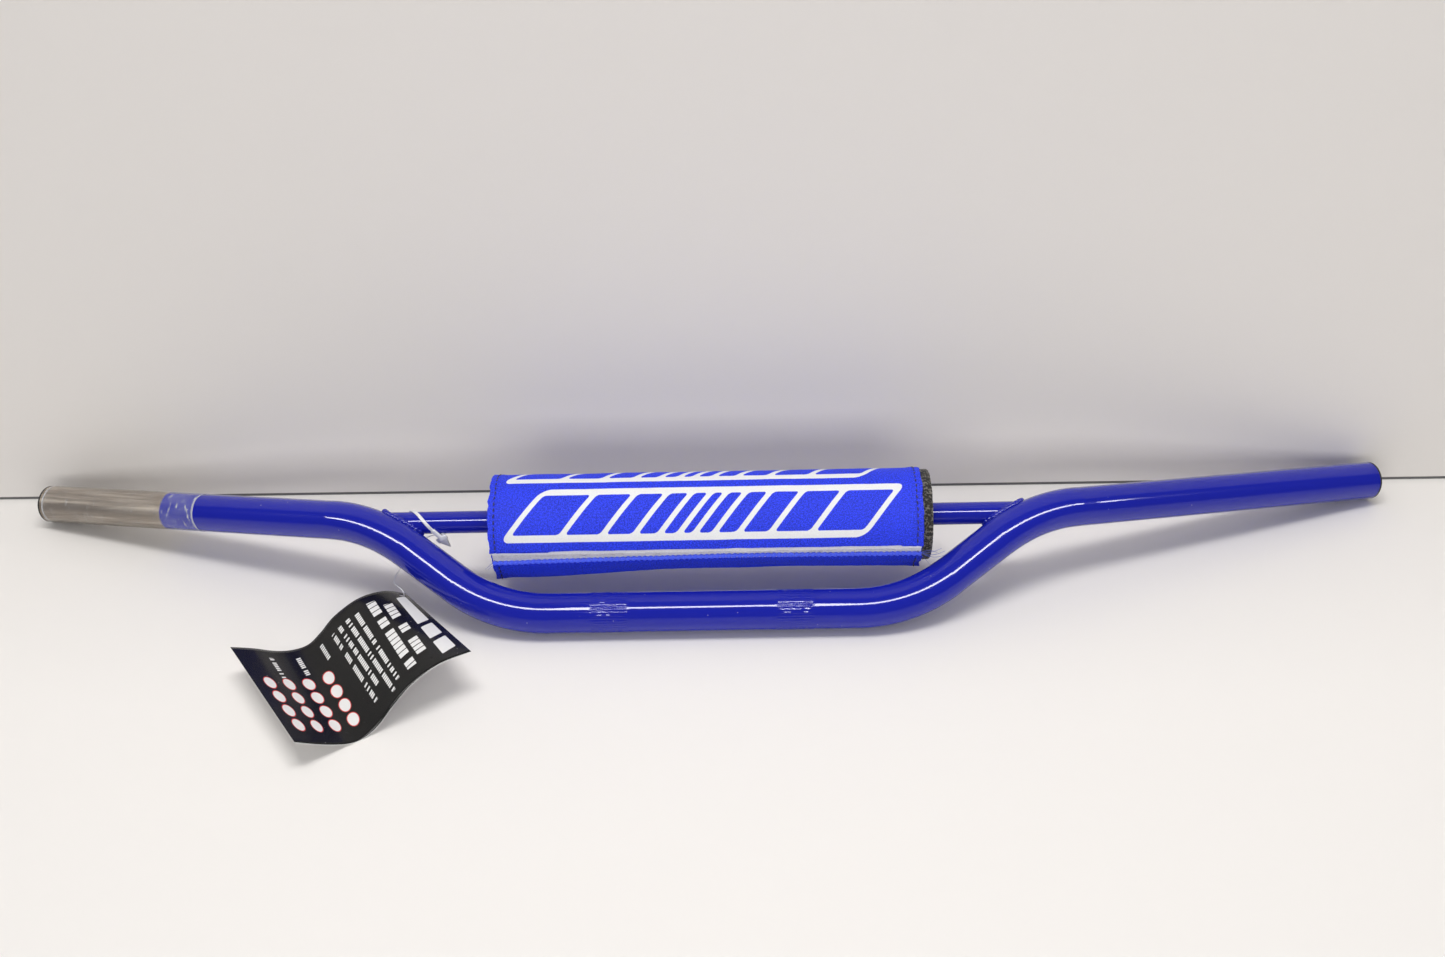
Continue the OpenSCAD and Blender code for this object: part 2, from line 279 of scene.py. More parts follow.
def dust_effect(w, place, amount):
    """Small pale specks and a few fine scuffs."""
    cells = w.node("TexVoronoi", Vector=place, Scale=260.0)
    spot = w.math("LESS_THAN", cells.outputs["Distance"], w.math("MULTIPLY", amount, 0.2))
    chosen = w.math("GREATER_THAN", w.noise(place, 90.0, 1.0), 0.6)
    lines = w.noise(w.vector("MULTIPLY", place, (60.0, 400.0, 900.0)), 1.0, 3.0)
    scuff = w.step(lines, 0.7, 0.76)
    return [w.math("MULTIPLY", spot, chosen), w.math("MULTIPLY", scuff, amount)]


def weave_effect(w, place, pitch):
    """Plain weave of warp and weft, with uneven yarns; its Sheen output is a speck mask that the cloth uses as painted
    sheen.
    """
    spread = w.vector("DIVIDE", place, pitch)
    parts = w.node("SeparateXYZ", Vector=spread)
    across = w.math("ABSOLUTE", w.math("SINE", w.math("MULTIPLY", parts.outputs[0], math.pi)))
    along = w.math("ABSOLUTE", w.math("SINE", w.math("MULTIPLY", parts.outputs[1], math.pi)))
    check = w.node("TexChecker", Vector=spread, Scale=1.0).outputs["Fac"]
    height = w.blend(check, across, along)
    uneven = w.noise(place, 1.05, 3.0, 0.7)
    speck = w.math("MULTIPLY", w.noise(place, 2.4, 1.0), uneven)
    return [w.math("MULTIPLY_ADD", uneven, 0.6, height), w.step(speck, 0.16, 0.36)]


def fibre_effect(w, place, stretch):
    """Fine fibres that lie along one way."""
    lie = w.vector("MULTIPLY", place, stretch)
    strands = w.noise(lie, 1.0, 4.0, 0.7)
    tufts = w.noise(place, 1.1, 3.0, 0.6)
    return [w.math("MULTIPLY_ADD", tufts, 0.5, strands), w.step(w.math("MULTIPLY", strands, tufts), 0.14, 0.36)]


def wear_effect(w, place, across):
    """Streaks along a tube, from its length and its width coordinates."""
    lie = w.vector("MULTIPLY", place, across)
    streaks = w.noise(lie, 1.0, 4.0, 0.6)
    stain = w.noise(place, 22.0, 3.0, 0.6)
    return [w.step(streaks, 0.35, 0.68), w.step(stain, 0.45, 0.7)]


def build_effects():
    position = ("Place", "Vector")
    effect("Orange peel", [position, ("Scale", "Float")], [("Height", "Float")], peel_effect)
    effect("Dust and scuffs", [position, ("Amount", "Float")], [("Specks", "Float"), ("Scuffs", "Float")],
           dust_effect)
    effect("Plain weave", [position, ("Pitch", "Vector")], [("Height", "Float"), ("Sheen", "Float")],
           weave_effect)
    effect("Laid fibres", [position, ("Stretch", "Vector")], [("Height", "Float"), ("Light", "Float")],
           fibre_effect)
    effect("Tube streaks", [position, ("Stretch", "Vector")], [("Streaks", "Float"), ("Stain", "Float")],
           wear_effect)


def finish(name, **values):
    """New material with one shader, and the wires to feed it."""
    made = bpy.data.materials.new(name)
    made.use_nodes = True
    made.node_tree.nodes.clear()
    wires = Wires(made.node_tree)
    shader = wires.node("BsdfPrincipled", **values)
    wires.node("OutputMaterial", Surface=shader.outputs[0])
    return made, wires, shader


def grey(value):
    return (value, value, value, 1.0)


def paint_finish(name, options, bare=False):
    """Gloss powder coat, with the bare steel end on the main tube."""
    made, w, shader = finish(name, Coat_Weight=1.0, Coat_Roughness=0.03, Coat_IOR=1.42, Specular_IOR_Level=0.08)
    place = w.place()
    dust = use(w, "Dust and scuffs", Place=place, Amount=0.35)
    depth = w.noise(place, 9.0, 2.0)
    colour = w.shade(tuple(options.colour[:3]), w.math("MULTIPLY_ADD", depth, 0.25, 0.88))
    colour = w.mix(w.math("MULTIPLY", dust["Specks"], 0.5), colour, grey(0.5))
    rough = w.math("MULTIPLY_ADD", dust["Scuffs"], 0.3, 0.16)
    height = use(w, "Orange peel", Place=place, Scale=420.0)["Height"]
    if bare:
        end = END * (-1, 1, 1) * MM
        way = GRIP_DIR * (-1, 1, 1)
        inward = w.vector("DOT_PRODUCT", w.vector("SUBTRACT", tuple(end), place), tuple(way))
        ragged = w.math("MULTIPLY_ADD", w.noise(place, 160.0, 2.0), 0.0022, inward)
        steel = w.math("SUBTRACT", 1.0, w.step(ragged, options.bare_l, options.bare_l + 0.0015))
        side = np.cross(way, (0, 0, 1))
        side = side / np.linalg.norm(side)
        over = np.cross(side, way)
        turned = w.node("CombineXYZ", X=inward, Y=w.vector("DOT_PRODUCT", place, tuple(side)),
                        Z=w.vector("DOT_PRODUCT", place, tuple(over))).outputs[0]
        streaks = use(w, "Tube streaks", Place=turned, Stretch=(14.0, 260.0, 260.0))
        bright = w.mix(streaks["Streaks"], (0.24, 0.2, 0.16, 1.0), tuple(options.steel))
        bright = w.mix(w.math("MULTIPLY", streaks["Stain"], 0.45), bright, (0.2, 0.13, 0.08, 1.0))
        colour = w.mix(steel, colour, bright)
        rough = w.blend(steel, rough, w.math("MULTIPLY_ADD", streaks["Streaks"], 0.12, 0.3))
        w.put(shader, "Metallic", w.math("MULTIPLY", steel, 0.6))
        w.put(shader, "Coat Weight", w.math("SUBTRACT", 1.0, steel))
        height = w.blend(steel, height, streaks["Streaks"])
    w.put(shader, "Base Color", colour)
    w.put(shader, "Roughness", rough)
    w.put(shader, "Normal", w.bump(height, options.peel, 0.0006))
    return made


def plug_finish():
    made, w, shader = finish("black_moulding", Specular_IOR_Level=0.4)
    place = w.place()
    grain = w.noise(place, 2200.0, 2.0)
    worn = w.noise(place, 120.0, 3.0)
    w.put(shader, "Base Color", w.mix(w.step(worn, 0.5, 0.8), grey(0.008), grey(0.03)))
    w.put(shader, "Roughness", w.math("MULTIPLY_ADD", worn, 0.25, 0.35))
    w.put(shader, "Normal", w.bump(grain, 0.25, 0.0002))
    return made


def film_finish():
    """Clear film: mostly see-through, milky in its creases and at its edges."""
    made, w, shader = finish("clear_film", Roughness=0.12, Base_Color=(0.86, 0.88, 0.93, 1.0))
    mm = w.flat("Wrap")
    parts = w.node("SeparateXYZ", Vector=mm)
    creases = w.noise(w.vector("MULTIPLY", mm, (0.5, 0.09, 1.0)), 1.0, 4.0, 0.6)
    sharp = w.step(creases, 0.56, 0.66)
    ends = w.math("ABSOLUTE", w.math("SUBTRACT", parts.outputs[0], 50.0))
    hem = w.step(ends, 48.4, 49.4)
    cloud = w.step(w.noise(mm, 0.06, 2.0), 0.4, 0.7)
    inner = w.step(parts.outputs[0], 78.0, 86.0)
    sharp = w.math("MULTIPLY", sharp, w.math("MULTIPLY_ADD", inner, 0.2, 0.08))
    cloud = w.math("MULTIPLY", cloud, w.math("MULTIPLY_ADD", inner, 0.03, 0.01))
    milky = w.math("ADD", sharp, w.math("ADD", cloud, w.math("MULTIPLY", hem, 0.3)))
    w.put(shader, "Alpha", w.math("ADD", milky, 0.035))
    w.put(shader, "Normal", w.bump(creases, 0.5, 0.0006))
    return made


def foam_finish(options):
    made, w, shader = finish("charcoal_foam", Specular_IOR_Level=0.15, Sheen_Weight=0.15)
    place = w.place()
    cells = w.node("TexVoronoi", Vector=place, Scale=900.0).outputs["Distance"]
    coarse = w.node("TexVoronoi", Vector=place, Scale=380.0).outputs["Distance"]
    light = w.step(w.math("MULTIPLY", cells, w.noise(place, 500.0, 2.0)), 0.22, 0.42)
    w.put(shader, "Base Color", w.mix(light, tuple(options.foam), (0.17, 0.16, 0.14, 1.0)))
    w.put(shader, "Roughness", w.math("MULTIPLY_ADD", light, 0.1, 0.85))
    w.put(shader, "Normal", w.bump(w.math("ADD", cells, coarse), 0.8, 0.0009))
    return made


def slab(w, x, y, centre, half, corner):
    """1 inside a rounded oblong, 0 outside."""
    reach = []
    for value, middle, side in ((x, centre[0], half[0]), (y, centre[1], half[1])):
        off = w.math("ABSOLUTE", w.math("SUBTRACT", value, middle))
        reach.append(w.math("MAXIMUM", w.math("SUBTRACT", off, side - corner), 0.0))
    far = w.math("SQRT", w.math("ADD", w.math("MULTIPLY", reach[0], reach[0]),
                                w.math("MULTIPLY", reach[1], reach[1])))
    return w.step(far, corner + 0.12, corner - 0.12)


def either(w, masks):
    total = masks[0]
    for mask in masks[1:]:
        total = w.math("MAXIMUM", total, mask)
    return total


# The print: one slanted band, three times round the cover, with bars of the cloth's own colour in it
BAND_FROM = 6.2
BAND_H = 31.2
BAND_STEP = 36.6
BAND_HALF = 100.0
BANDS_END = 113.0
SLANT = 0.77
BAR_WIDTHS = (26, 19, 14, 10, 7, 5, 7, 10, 14, 19, 26)
BAR_GAP = 3.6


def print_mask(w, mm):
    """1 where the cover is printed white."""
    parts = w.node("SeparateXYZ", Vector=mm)
    up = w.math("FLOORED_MODULO", w.math("SUBTRACT", parts.outputs[1], BAND_FROM), BAND_STEP)
    middle = BAND_H / 2
    lean = w.math("MULTIPLY", w.math("SUBTRACT", up, middle), -SLANT)
    x = w.math("ADD", parts.outputs[0], lean)
    band = slab(w, x, up, (-1, middle), (BAND_HALF, middle), 5.0)
    bars = []
    at = -1 - (sum(BAR_WIDTHS) + BAR_GAP * (len(BAR_WIDTHS) - 1)) / 2
    for width in BAR_WIDTHS:
        bars.append(slab(w, x, up, (at + width / 2, middle), (width / 2, middle - 4.2), 1.8))
        at += width + BAR_GAP
    shown = w.math("MULTIPLY", band, w.math("LESS_THAN", parts.outputs[1], BANDS_END))
    return w.math("MULTIPLY", shown, w.math("SUBTRACT", 1.0, either(w, bars)))


def cloth_finish(options, printed=True):
    """Woven polyester with its print."""
    made, w, shader = finish("printed_cloth" if printed else "plain_cloth", Specular_IOR_Level=0.25,
                             Sheen_Weight=0.12, Sheen_Roughness=0.4, Sheen_Tint=(0.5, 0.6, 1.0, 1.0))
    mm = w.flat("Cloth")
    weave = use(w, "Plain weave", Place=mm, Pitch=(0.42, 0.42, 1.0))
    fade = w.noise(mm, 0.05, 3.0)
    # The Sheen specks make the cloth lighter and tint it pale blue: painted sheen on the threads, on top of the uneven
    # yarn tone.
    tone = w.math("MULTIPLY_ADD", weave["Sheen"], 0.75, w.math("MULTIPLY_ADD", fade, 0.3, 0.42))
    colour = w.shade(tuple(options.cloth[:3]), tone)
    colour = w.mix(w.math("MULTIPLY", weave["Sheen"], 0.035), colour, (0.5, 0.6, 1.0, 1.0))
    rough = 0.72
    if printed:
        ragged = w.vector("ADD", mm, w.vector("SCALE", w.node("TexNoise", Vector=mm, Scale=1.6).outputs[1], 0.3))
        ink = print_mask(w, ragged)
        # The print is lighter on the same specks: painted sheen.
        pale = w.shade(tuple(options.print_colour[:3]), w.math("MULTIPLY_ADD", weave["Sheen"], 0.08, 0.94))
        colour = w.mix(ink, colour, pale)
        rough = w.math("MULTIPLY_ADD", ink, -0.15, 0.72)
    w.put(shader, "Base Color", colour)
    w.put(shader, "Roughness", rough)
    w.put(shader, "Normal", w.bump(weave["Height"], 0.35, 0.0002))
    return made


def tape_finish(options, name, tone, stretch):
    made, w, shader = finish(name, Specular_IOR_Level=0.3, Sheen_Weight=0.3, Roughness=0.7)
    mm = w.flat("Cloth")
    fibres = use(w, "Laid fibres", Place=mm, Stretch=stretch)
    dull = w.shade(tuple(options.tape[:3]), 0.86 * tone)
    bright = w.shade(tuple(options.tape[:3]), 1.0 * tone)
    w.put(shader, "Base Color", w.mix(fibres["Light"], dull, bright))
    w.put(shader, "Normal", w.bump(fibres["Height"], 0.8, 0.0004))
    return made


def thread_finish(name, colour, tone=1.0):
    """Twisted polyester thread."""
    made, w, shader = finish(name, Specular_IOR_Level=0.35, Sheen_Weight=0.3)
    place = w.place()
    fibres = use(w, "Laid fibres", Place=place, Stretch=(1500.0, 4000.0, 4000.0))
    low = w.shade(tuple(colour[:3]), 0.6 * tone)
    high = w.shade(tuple(colour[:3]), 1.3 * tone)
    w.put(shader, "Base Color", w.mix(fibres["Light"], low, high))
    w.put(shader, "Roughness", w.math("MULTIPLY_ADD", fibres["Light"], -0.15, 0.65))
    w.put(shader, "Normal", w.bump(fibres["Height"], 0.4, 0.0001))
    return made


def nylon_finish():
    made, w, shader = finish("clear_nylon", IOR=1.53, Transmission_Weight=0.2)
    place = w.place()
    cloud = w.noise(place, 400.0, 3.0)
    w.put(shader, "Base Color", w.mix(cloud, (0.86, 0.87, 0.9, 1.0), (0.98, 0.98, 1.0, 1.0)))
    w.put(shader, "Roughness", w.math("MULTIPLY_ADD", cloud, 0.2, 0.22))
    w.put(shader, "Normal", w.bump(w.noise(place, 900.0, 2.0), 0.2, 0.0002))
    return made


# Card print in millimetres: place along the card from its low end, half height, spans across it, cell and gap
HEAD_BARS = ((103.0, 4.0, ((8, 42), (46, 60), (64, 78)), 0.45),)
WORD_LINES = ((91.5, 2.7, 15, 70, 3.9, 0.7), (83.5, 2.7, 8, 76, 4.3, 0.7), (74, 1.3, 10, 76, 1.7, 0.35),
              (68.5, 1.3, 10, 80, 1.7, 0.35), (63, 1.3, 10, 68, 1.7, 0.35), (57.5, 1.3, 10, 74, 1.7, 0.35),
              (48, 1.2, 8, 22, 1.7, 0.5), (34, 1.2, 8, 25, 1.7, 0.5), (20, 1.2, 8, 32, 1.7, 0.5))
OVAL_FROM = (9.5, 33.0)
OVAL_STEP = (11.0, 12.6)
OVAL_ROWS = 4
OVAL_HALF = (2.9, 4.9)


def card_finish(options):
    """Gloss black card with plain bars, greeked lines and blank ovals."""
    made, w, shader = finish("printed_card", Coat_Weight=0.12, Coat_Roughness=0.08, Specular_IOR_Level=0.2)
    mm = w.flat("Card")
    parts = w.node("SeparateXYZ", Vector=mm)
    along, across = parts.outputs[0], parts.outputs[1]
    marks = []
    for at, half, spans, lean in HEAD_BARS:
        for low, high in spans:
            marks.append(slab(w, w.math("MULTIPLY_ADD", along, lean, across), along,
                              ((low + high) / 2 + at * lean, at), ((high - low) / 2, half), 0.8))
    for at, half, low, high, cell, gap in WORD_LINES:
        line = slab(w, across, along, ((low + high) / 2, at), ((high - low) / 2, half), 0.3)
        slanted = w.math("MULTIPLY_ADD", along, 0.2, across)
        index = w.math("FLOOR", w.math("DIVIDE", w.math("ADD", slanted, at * 7.0), cell))
        word = w.math("GREATER_THAN", w.node("TexWhiteNoise", {"noise_dimensions": "1D"}, W=index).outputs[0], 0.16)
        body = w.math("LESS_THAN", w.math("FLOORED_MODULO", w.math("ADD", slanted, at * 7.0), cell), cell - gap)
        marks.append(w.math("MULTIPLY", line, w.math("MULTIPLY", word, body)))
    ground = w.mix(w.noise(mm, 0.05, 3.0), tuple(options.card), grey(0.009))
    colour = w.mix(either(w, marks), ground, tuple(options.ink))
    cell = []
    for value, start, pitch, count in ((along, OVAL_FROM[0], OVAL_STEP[0], OVAL_ROWS),
                                       (across, OVAL_FROM[1], OVAL_STEP[1], options.ovals)):
        index = w.math("ROUND", w.math("DIVIDE", w.math("SUBTRACT", value, start), pitch))
        index = w.math("MINIMUM", w.math("MAXIMUM", index, 0.0), float(count - 1))
        cell.append(w.math("SUBTRACT", value, w.math("MULTIPLY_ADD", index, pitch, start)))
    far = w.math("SQRT", w.math("ADD", w.math("POWER", w.math("DIVIDE", cell[0], OVAL_HALF[0]), 2.0),
                                w.math("POWER", w.math("DIVIDE", cell[1], OVAL_HALF[1]), 2.0)))
    colour = w.mix(w.step(far, 1.16, 1.1), colour, tuple(options.rim))
    colour = w.mix(w.step(far, 1.03, 0.97), colour, tuple(options.ink))
    scuffs = use(w, "Dust and scuffs", Place=w.place(), Amount=0.5)
    colour = w.mix(w.math("MULTIPLY", scuffs["Specks"], 0.35), colour, grey(0.4))
    w.put(shader, "Base Color", colour)
    w.put(shader, "Roughness", w.math("MULTIPLY_ADD", scuffs["Scuffs"], 0.3, 0.22))
    w.put(shader, "Normal", w.bump(w.noise(mm, 0.4, 3.0), 0.05, 0.0004))
    return made


def board_finish():
    """White back and cut edges of the card."""
    made, w, shader = finish("white_board", Roughness=0.6)
    mm = w.flat("Card")
    fibres = use(w, "Laid fibres", Place=mm, Stretch=(2.0, 5.0, 1.0))
    w.put(shader, "Base Color", w.mix(fibres["Light"], grey(0.68), grey(0.8)))
    w.put(shader, "Normal", w.bump(fibres["Height"], 0.2, 0.0001))
    return made


def show(name, mesh, finishes, nodes):
    """Puts a finished mesh in the scene as a piece that replaces CAD nodes."""
    piece = bpy.data.objects.new(name, mesh)
    bpy.context.scene.collection.objects.link(piece)
    for made in finishes:
        mesh.materials.append(made)
    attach(piece, "root")
    if nodes:
        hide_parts(*nodes)
    return piece


def mesh_of(name, points, faces, layer=None, flat=None, material=None):
    """Smooth mesh from points in millimetres, with flat coordinates for each point in a named layer."""
    mesh = bpy.data.meshes.new(name)
    mesh.from_pydata((np.asarray(points, float) * MM).tolist(), [], np.asarray(faces).tolist())
    mesh.polygons.foreach_set("use_smooth", [True] * len(mesh.polygons))
    if layer:
        loops = np.zeros(len(mesh.loops), int)
        mesh.loops.foreach_get("vertex_index", loops)
        mesh.uv_layers.new(name=layer).data.foreach_set("uv", (np.asarray(flat)[loops] / 100).ravel())
    if material is not None:
        mesh.polygons.foreach_set("material_index", material)
    mesh.update()
    return mesh


def grid_faces(rows, columns, first=0, turn=False, closed=False):
    """Quads between rows of points, each row of one length."""
    faces = []
    for i in range(rows - 1):
        for j in range(columns if closed else columns - 1):
            k = (j + 1) % columns
            quad = [i * columns + j, i * columns + k, (i + 1) * columns + k, (i + 1) * columns + j]
            faces.append([first + q for q in (quad[::-1] if turn else quad)])
    return faces


def sheet_mesh(name, outer, inner, layer, flat):
    """Closed mesh of a sheet from its two sides, each a grid of points."""
    rows, columns = outer.shape[:2]
    count = rows * columns
    points = np.concatenate([outer.reshape(-1, 3), inner.reshape(-1, 3)])
    faces = grid_faces(rows, columns) + grid_faces(rows, columns, count, True)
    rim = [i * columns for i in range(rows)]
    rim += [(rows - 1) * columns + j for j in range(1, columns)]
    rim += [i * columns + columns - 1 for i in range(rows - 2, -1, -1)]
    rim += list(range(columns - 2, 0, -1))
    for a, b in zip(rim, rim[1:] + rim[:1]):
        faces.append([a, b, b + count, a + count])
    return mesh_of(name, points, faces, layer, np.concatenate([flat.reshape(-1, 2)] * 2))


def carried_frames(path):
    """Way, side and up of each point of a path, turned as little as possible."""
    path = np.asarray(path, float)
    ways = np.gradient(path, axis=0)
    ways /= np.linalg.norm(ways, axis=1)[:, None]
    side = np.cross(ways[0], (0, 0, 1) if abs(ways[0][2]) < 0.9 else (1, 0, 0))
    sides = []
    for way in ways:
        side = side - way * (side @ way)
        side = side / np.linalg.norm(side)
        sides.append(side)
    sides = np.array(sides)
    return ways, sides, np.cross(sides, ways)


def cord_rings(path, radii, around=8):
    """Rings of points round a path; radii holds one number, or one for each place."""
    _, sides, ups = carried_frames(path)
    turn = np.arange(around) * 2 * np.pi / around
    spread = np.cos(turn)[None, :, None] * sides[:, None] + np.sin(turn)[None, :, None] * ups[:, None]
    radii = np.broadcast_to(np.asarray(radii, float), (len(path), around)) if np.ndim(radii) != 1 else \
        np.repeat(np.asarray(radii, float)[:, None], around, 1)
    return np.asarray(path)[:, None] + spread * radii[:, :, None]


class Bundle:
    """Collects many small shapes for one mesh."""

    def __init__(self):
        self.points = []
        self.faces = []

    def tube(self, path, radii, around=6):
        rings = cord_rings(path, radii, around)
        first = len(self.points)
        self.points += rings.reshape(-1, 3).tolist()
        self.faces += grid_faces(len(path), around, first, closed=True)
        self.faces.append([first + j for j in range(around)][::-1])
        self.faces.append([first + (len(path) - 1) * around + j for j in range(around)])

    def mesh(self, name):
        mesh = bpy.data.meshes.new(name)
        mesh.from_pydata((np.array(self.points) * MM).tolist(), [], self.faces)
        mesh.polygons.foreach_set("use_smooth", [True] * len(mesh.polygons))
        mesh.update()
        return mesh


def ripple(x, y, z=0.0):
    """Smooth seeded noise from -1 to 1."""
    return noise.noise(Vector((x, y, z)))


# The cover's cloth: its outer face from the front panel's edge, over the top and round the back, to the flap's end
PANEL_EDGE = 176.0
PANEL_R = FOAM_R + 0.85 + 2.8
ROUND_R = FOAM_R + 0.85
PANEL_DROP = 2.8
FLAP_LEAVES = 205.0
FLAP_END = 168.0
FOLD = np.array([-17.1, -26.6])
CLOTH_T = 0.8


def on_circle(angle, radius, drop=0.0):
    return np.array([radius * math.cos(math.radians(angle)), radius * math.sin(math.radians(angle)) - drop])


def cloth_outline(step=1.1):
    """Outer points of the cover's section and each one's length from the front edge."""
    corners = [on_circle(a, PANEL_R, PANEL_DROP) for a in np.linspace(PANEL_EDGE, 90, 41)]
    corners += [on_circle(a, ROUND_R) for a in np.linspace(90, -88, 80)[1:]]
    foot = corners[-1]
    rise = on_circle(FLAP_LEAVES, ROUND_R)
    bend = [FOLD + (foot - FOLD) * 0.16, FOLD + (foot - FOLD) * 0.04 + (rise - FOLD) * 0.04,
            FOLD + (rise - FOLD) * 0.16]
    corners += [foot + (bend[0] - foot) * t for t in (0.25, 0.5, 0.75)] + bend
    corners += [bend[2] + (rise - bend[2]) * t for t in (0.25, 0.5, 0.75)]
    corners += [on_circle(a, ROUND_R) for a in np.linspace(FLAP_LEAVES, FLAP_END, 16)]
    corners = np.array(corners)
    length = np.concatenate([[0], np.cumsum(np.linalg.norm(np.diff(corners, axis=0), axis=1))])
    at = np.linspace(0, length[-1], int(length[-1] / step) + 1)
    return np.stack([np.interp(at, length, corners[:, 0]), np.interp(at, length, corners[:, 1])], 1), at


def along_bar(x, section):
    """Points in the row frame from places along the crossbar and points of its section."""
    return np.stack([x, CROSS_Y + section[..., 0], CROSS_Z + section[..., 1]], -1)


def outward(section):
    """Unit vectors square to a section's line, away from the foam."""
    way = np.gradient(section, axis=0)
    way /= np.linalg.norm(way, axis=1)[:, None]
    return np.stack([-way[:, 1], way[:, 0]], 1)


def bell(value, middle, width):
    return math.exp(-((value - middle) / width) ** 2)


def slack_at(x, left_slack):
    """How far the flap's fold hangs out at x, in millimetres."""
    return np.interp(x, [-117, -80, -20, 40, 80, 122], [left_slack, 0.6, -2.2, -2.8, -2.4, -1.9])


class HANDLEBAR_OT_camera(bpy.types.Operator):
    """Camera at the place that was fitted to the bar"""

    bl_idname = "handlebar.camera"
    bl_label = "Camera"

    def execute(self, context):
        pitch, yaw, roll = (math.radians(a) for a in CAMERA_TILT)
        ahead = Vector((math.sin(yaw) * math.cos(pitch), math.cos(yaw) * math.cos(pitch), math.sin(pitch)))
        right = Vector((math.cos(yaw), -math.sin(yaw), 0))
        up = right.cross(ahead)
        turned = math.cos(roll) * right + math.sin(roll) * up
        over = -math.sin(roll) * right + math.cos(roll) * up
        camera = bpy.data.objects.new("camera", bpy.data.cameras.new("camera"))
        camera.data.sensor_width = SENSOR
        camera.data.lens = FOCAL_PX / PICTURE_W * SENSOR
        camera.data.clip_start = 0.01
        camera.matrix_world = Matrix.Translation(CAMERA_AT) @ Matrix((turned, over, -ahead)).transposed().to_4x4()
        context.scene.collection.objects.link(camera)
        context.scene.camera = camera
        return {"FINISHED"}


# The filament's route and the card's two long edges, in millimetres, as the CAD part has them
TAG_CORNER = np.array([-260.3, -11.2])
TAG_ALONG = np.array([0.816, 0.578])
TAG_ACROSS = np.array([0.578, -0.816])
TAG_FIRST = 24.2
TAG_W = 87.0
TAG_T = 0.4
EDGE_A = [[-5, 19], [6, 12.5], [17, 5], [26, 1], [35, 0.1], [43, 4.5], [53, 12], [68, 17], [83, 15], [95, 7.5]]
EDGE_B = [[-4.5, 17], [6, 9.5], [15, 4], [22, 0.8], [29, 0.1], [38, 4], [48.5, 13], [60, 21], [76, 26], [94, 25]]
HOLE_AT = (8.6, 0.055)
HOLE_D = 3.2
FILAMENT_D = 0.6
STRAP_IN = CROSS_R + 0.1
STRAP_T = 0.7
STRAP_W = 2.4
STRAP_FROM = -150.0
STRAP_TO = 190.0
STRAP_X = (-146.0, -165.0, -151.0)


def smooth(points, s):
    """Smooth curve through points, at s counted in points."""
    points = [np.asarray(p, float) for p in points]
    i = min(int(math.floor(s)), len(points) - 2)
    t = s - i
    a, b = points[max(i - 1, 0)], points[i]
    c, d = points[i + 1], points[min(i + 2, len(points) - 1)]
    return 0.5 * (2 * b + (c - a) * t + (2 * a - 5 * b + 4 * c - d) * t * t + (3 * b - a - 3 * c + d) * t ** 3)


def tag_point(s, share, up=0.0):
    edge = (1 - share) * smooth(EDGE_A, s) + share * smooth(EDGE_B, s)
    xy = TAG_CORNER + TAG_ALONG * edge[0] + TAG_ACROSS * (TAG_FIRST + TAG_W * share)
    return np.array([xy[0], xy[1], TABLE + edge[1] + up])


def strap_place(angle):
    if angle < 50:
        return STRAP_X[0] + (STRAP_X[1] - STRAP_X[0]) * (angle - STRAP_FROM) / (50 - STRAP_FROM)
    return STRAP_X[1] + (STRAP_X[2] - STRAP_X[1]) * (angle - 50) / (STRAP_TO - 50)


def filament_route():
    angle = math.radians(-120)
    reach = STRAP_IN + STRAP_T + 0.05 + FILAMENT_D / 2
    start = [strap_place(-120), CROSS_Y + reach * math.cos(angle), CROSS_Z + reach * math.sin(angle)]
    hole = tag_point(*HOLE_AT)
    side = np.array([TAG_ALONG[0], TAG_ALONG[1], 0]) * ((HOLE_D - FILAMENT_D) / 2 - 0.05)
    route = [start, [-154, 49, 19], [-162, 52, 13], [-169, 47, 7], [-174, 37, 3], [-175, 27, 2.5]]
    route += [hole + side + [-0.5, 0.5, 3], hole + side + [0, 0, -2]]
    return [smooth(route, i / 4) for i in range((len(route) - 1) * 4 + 1)]


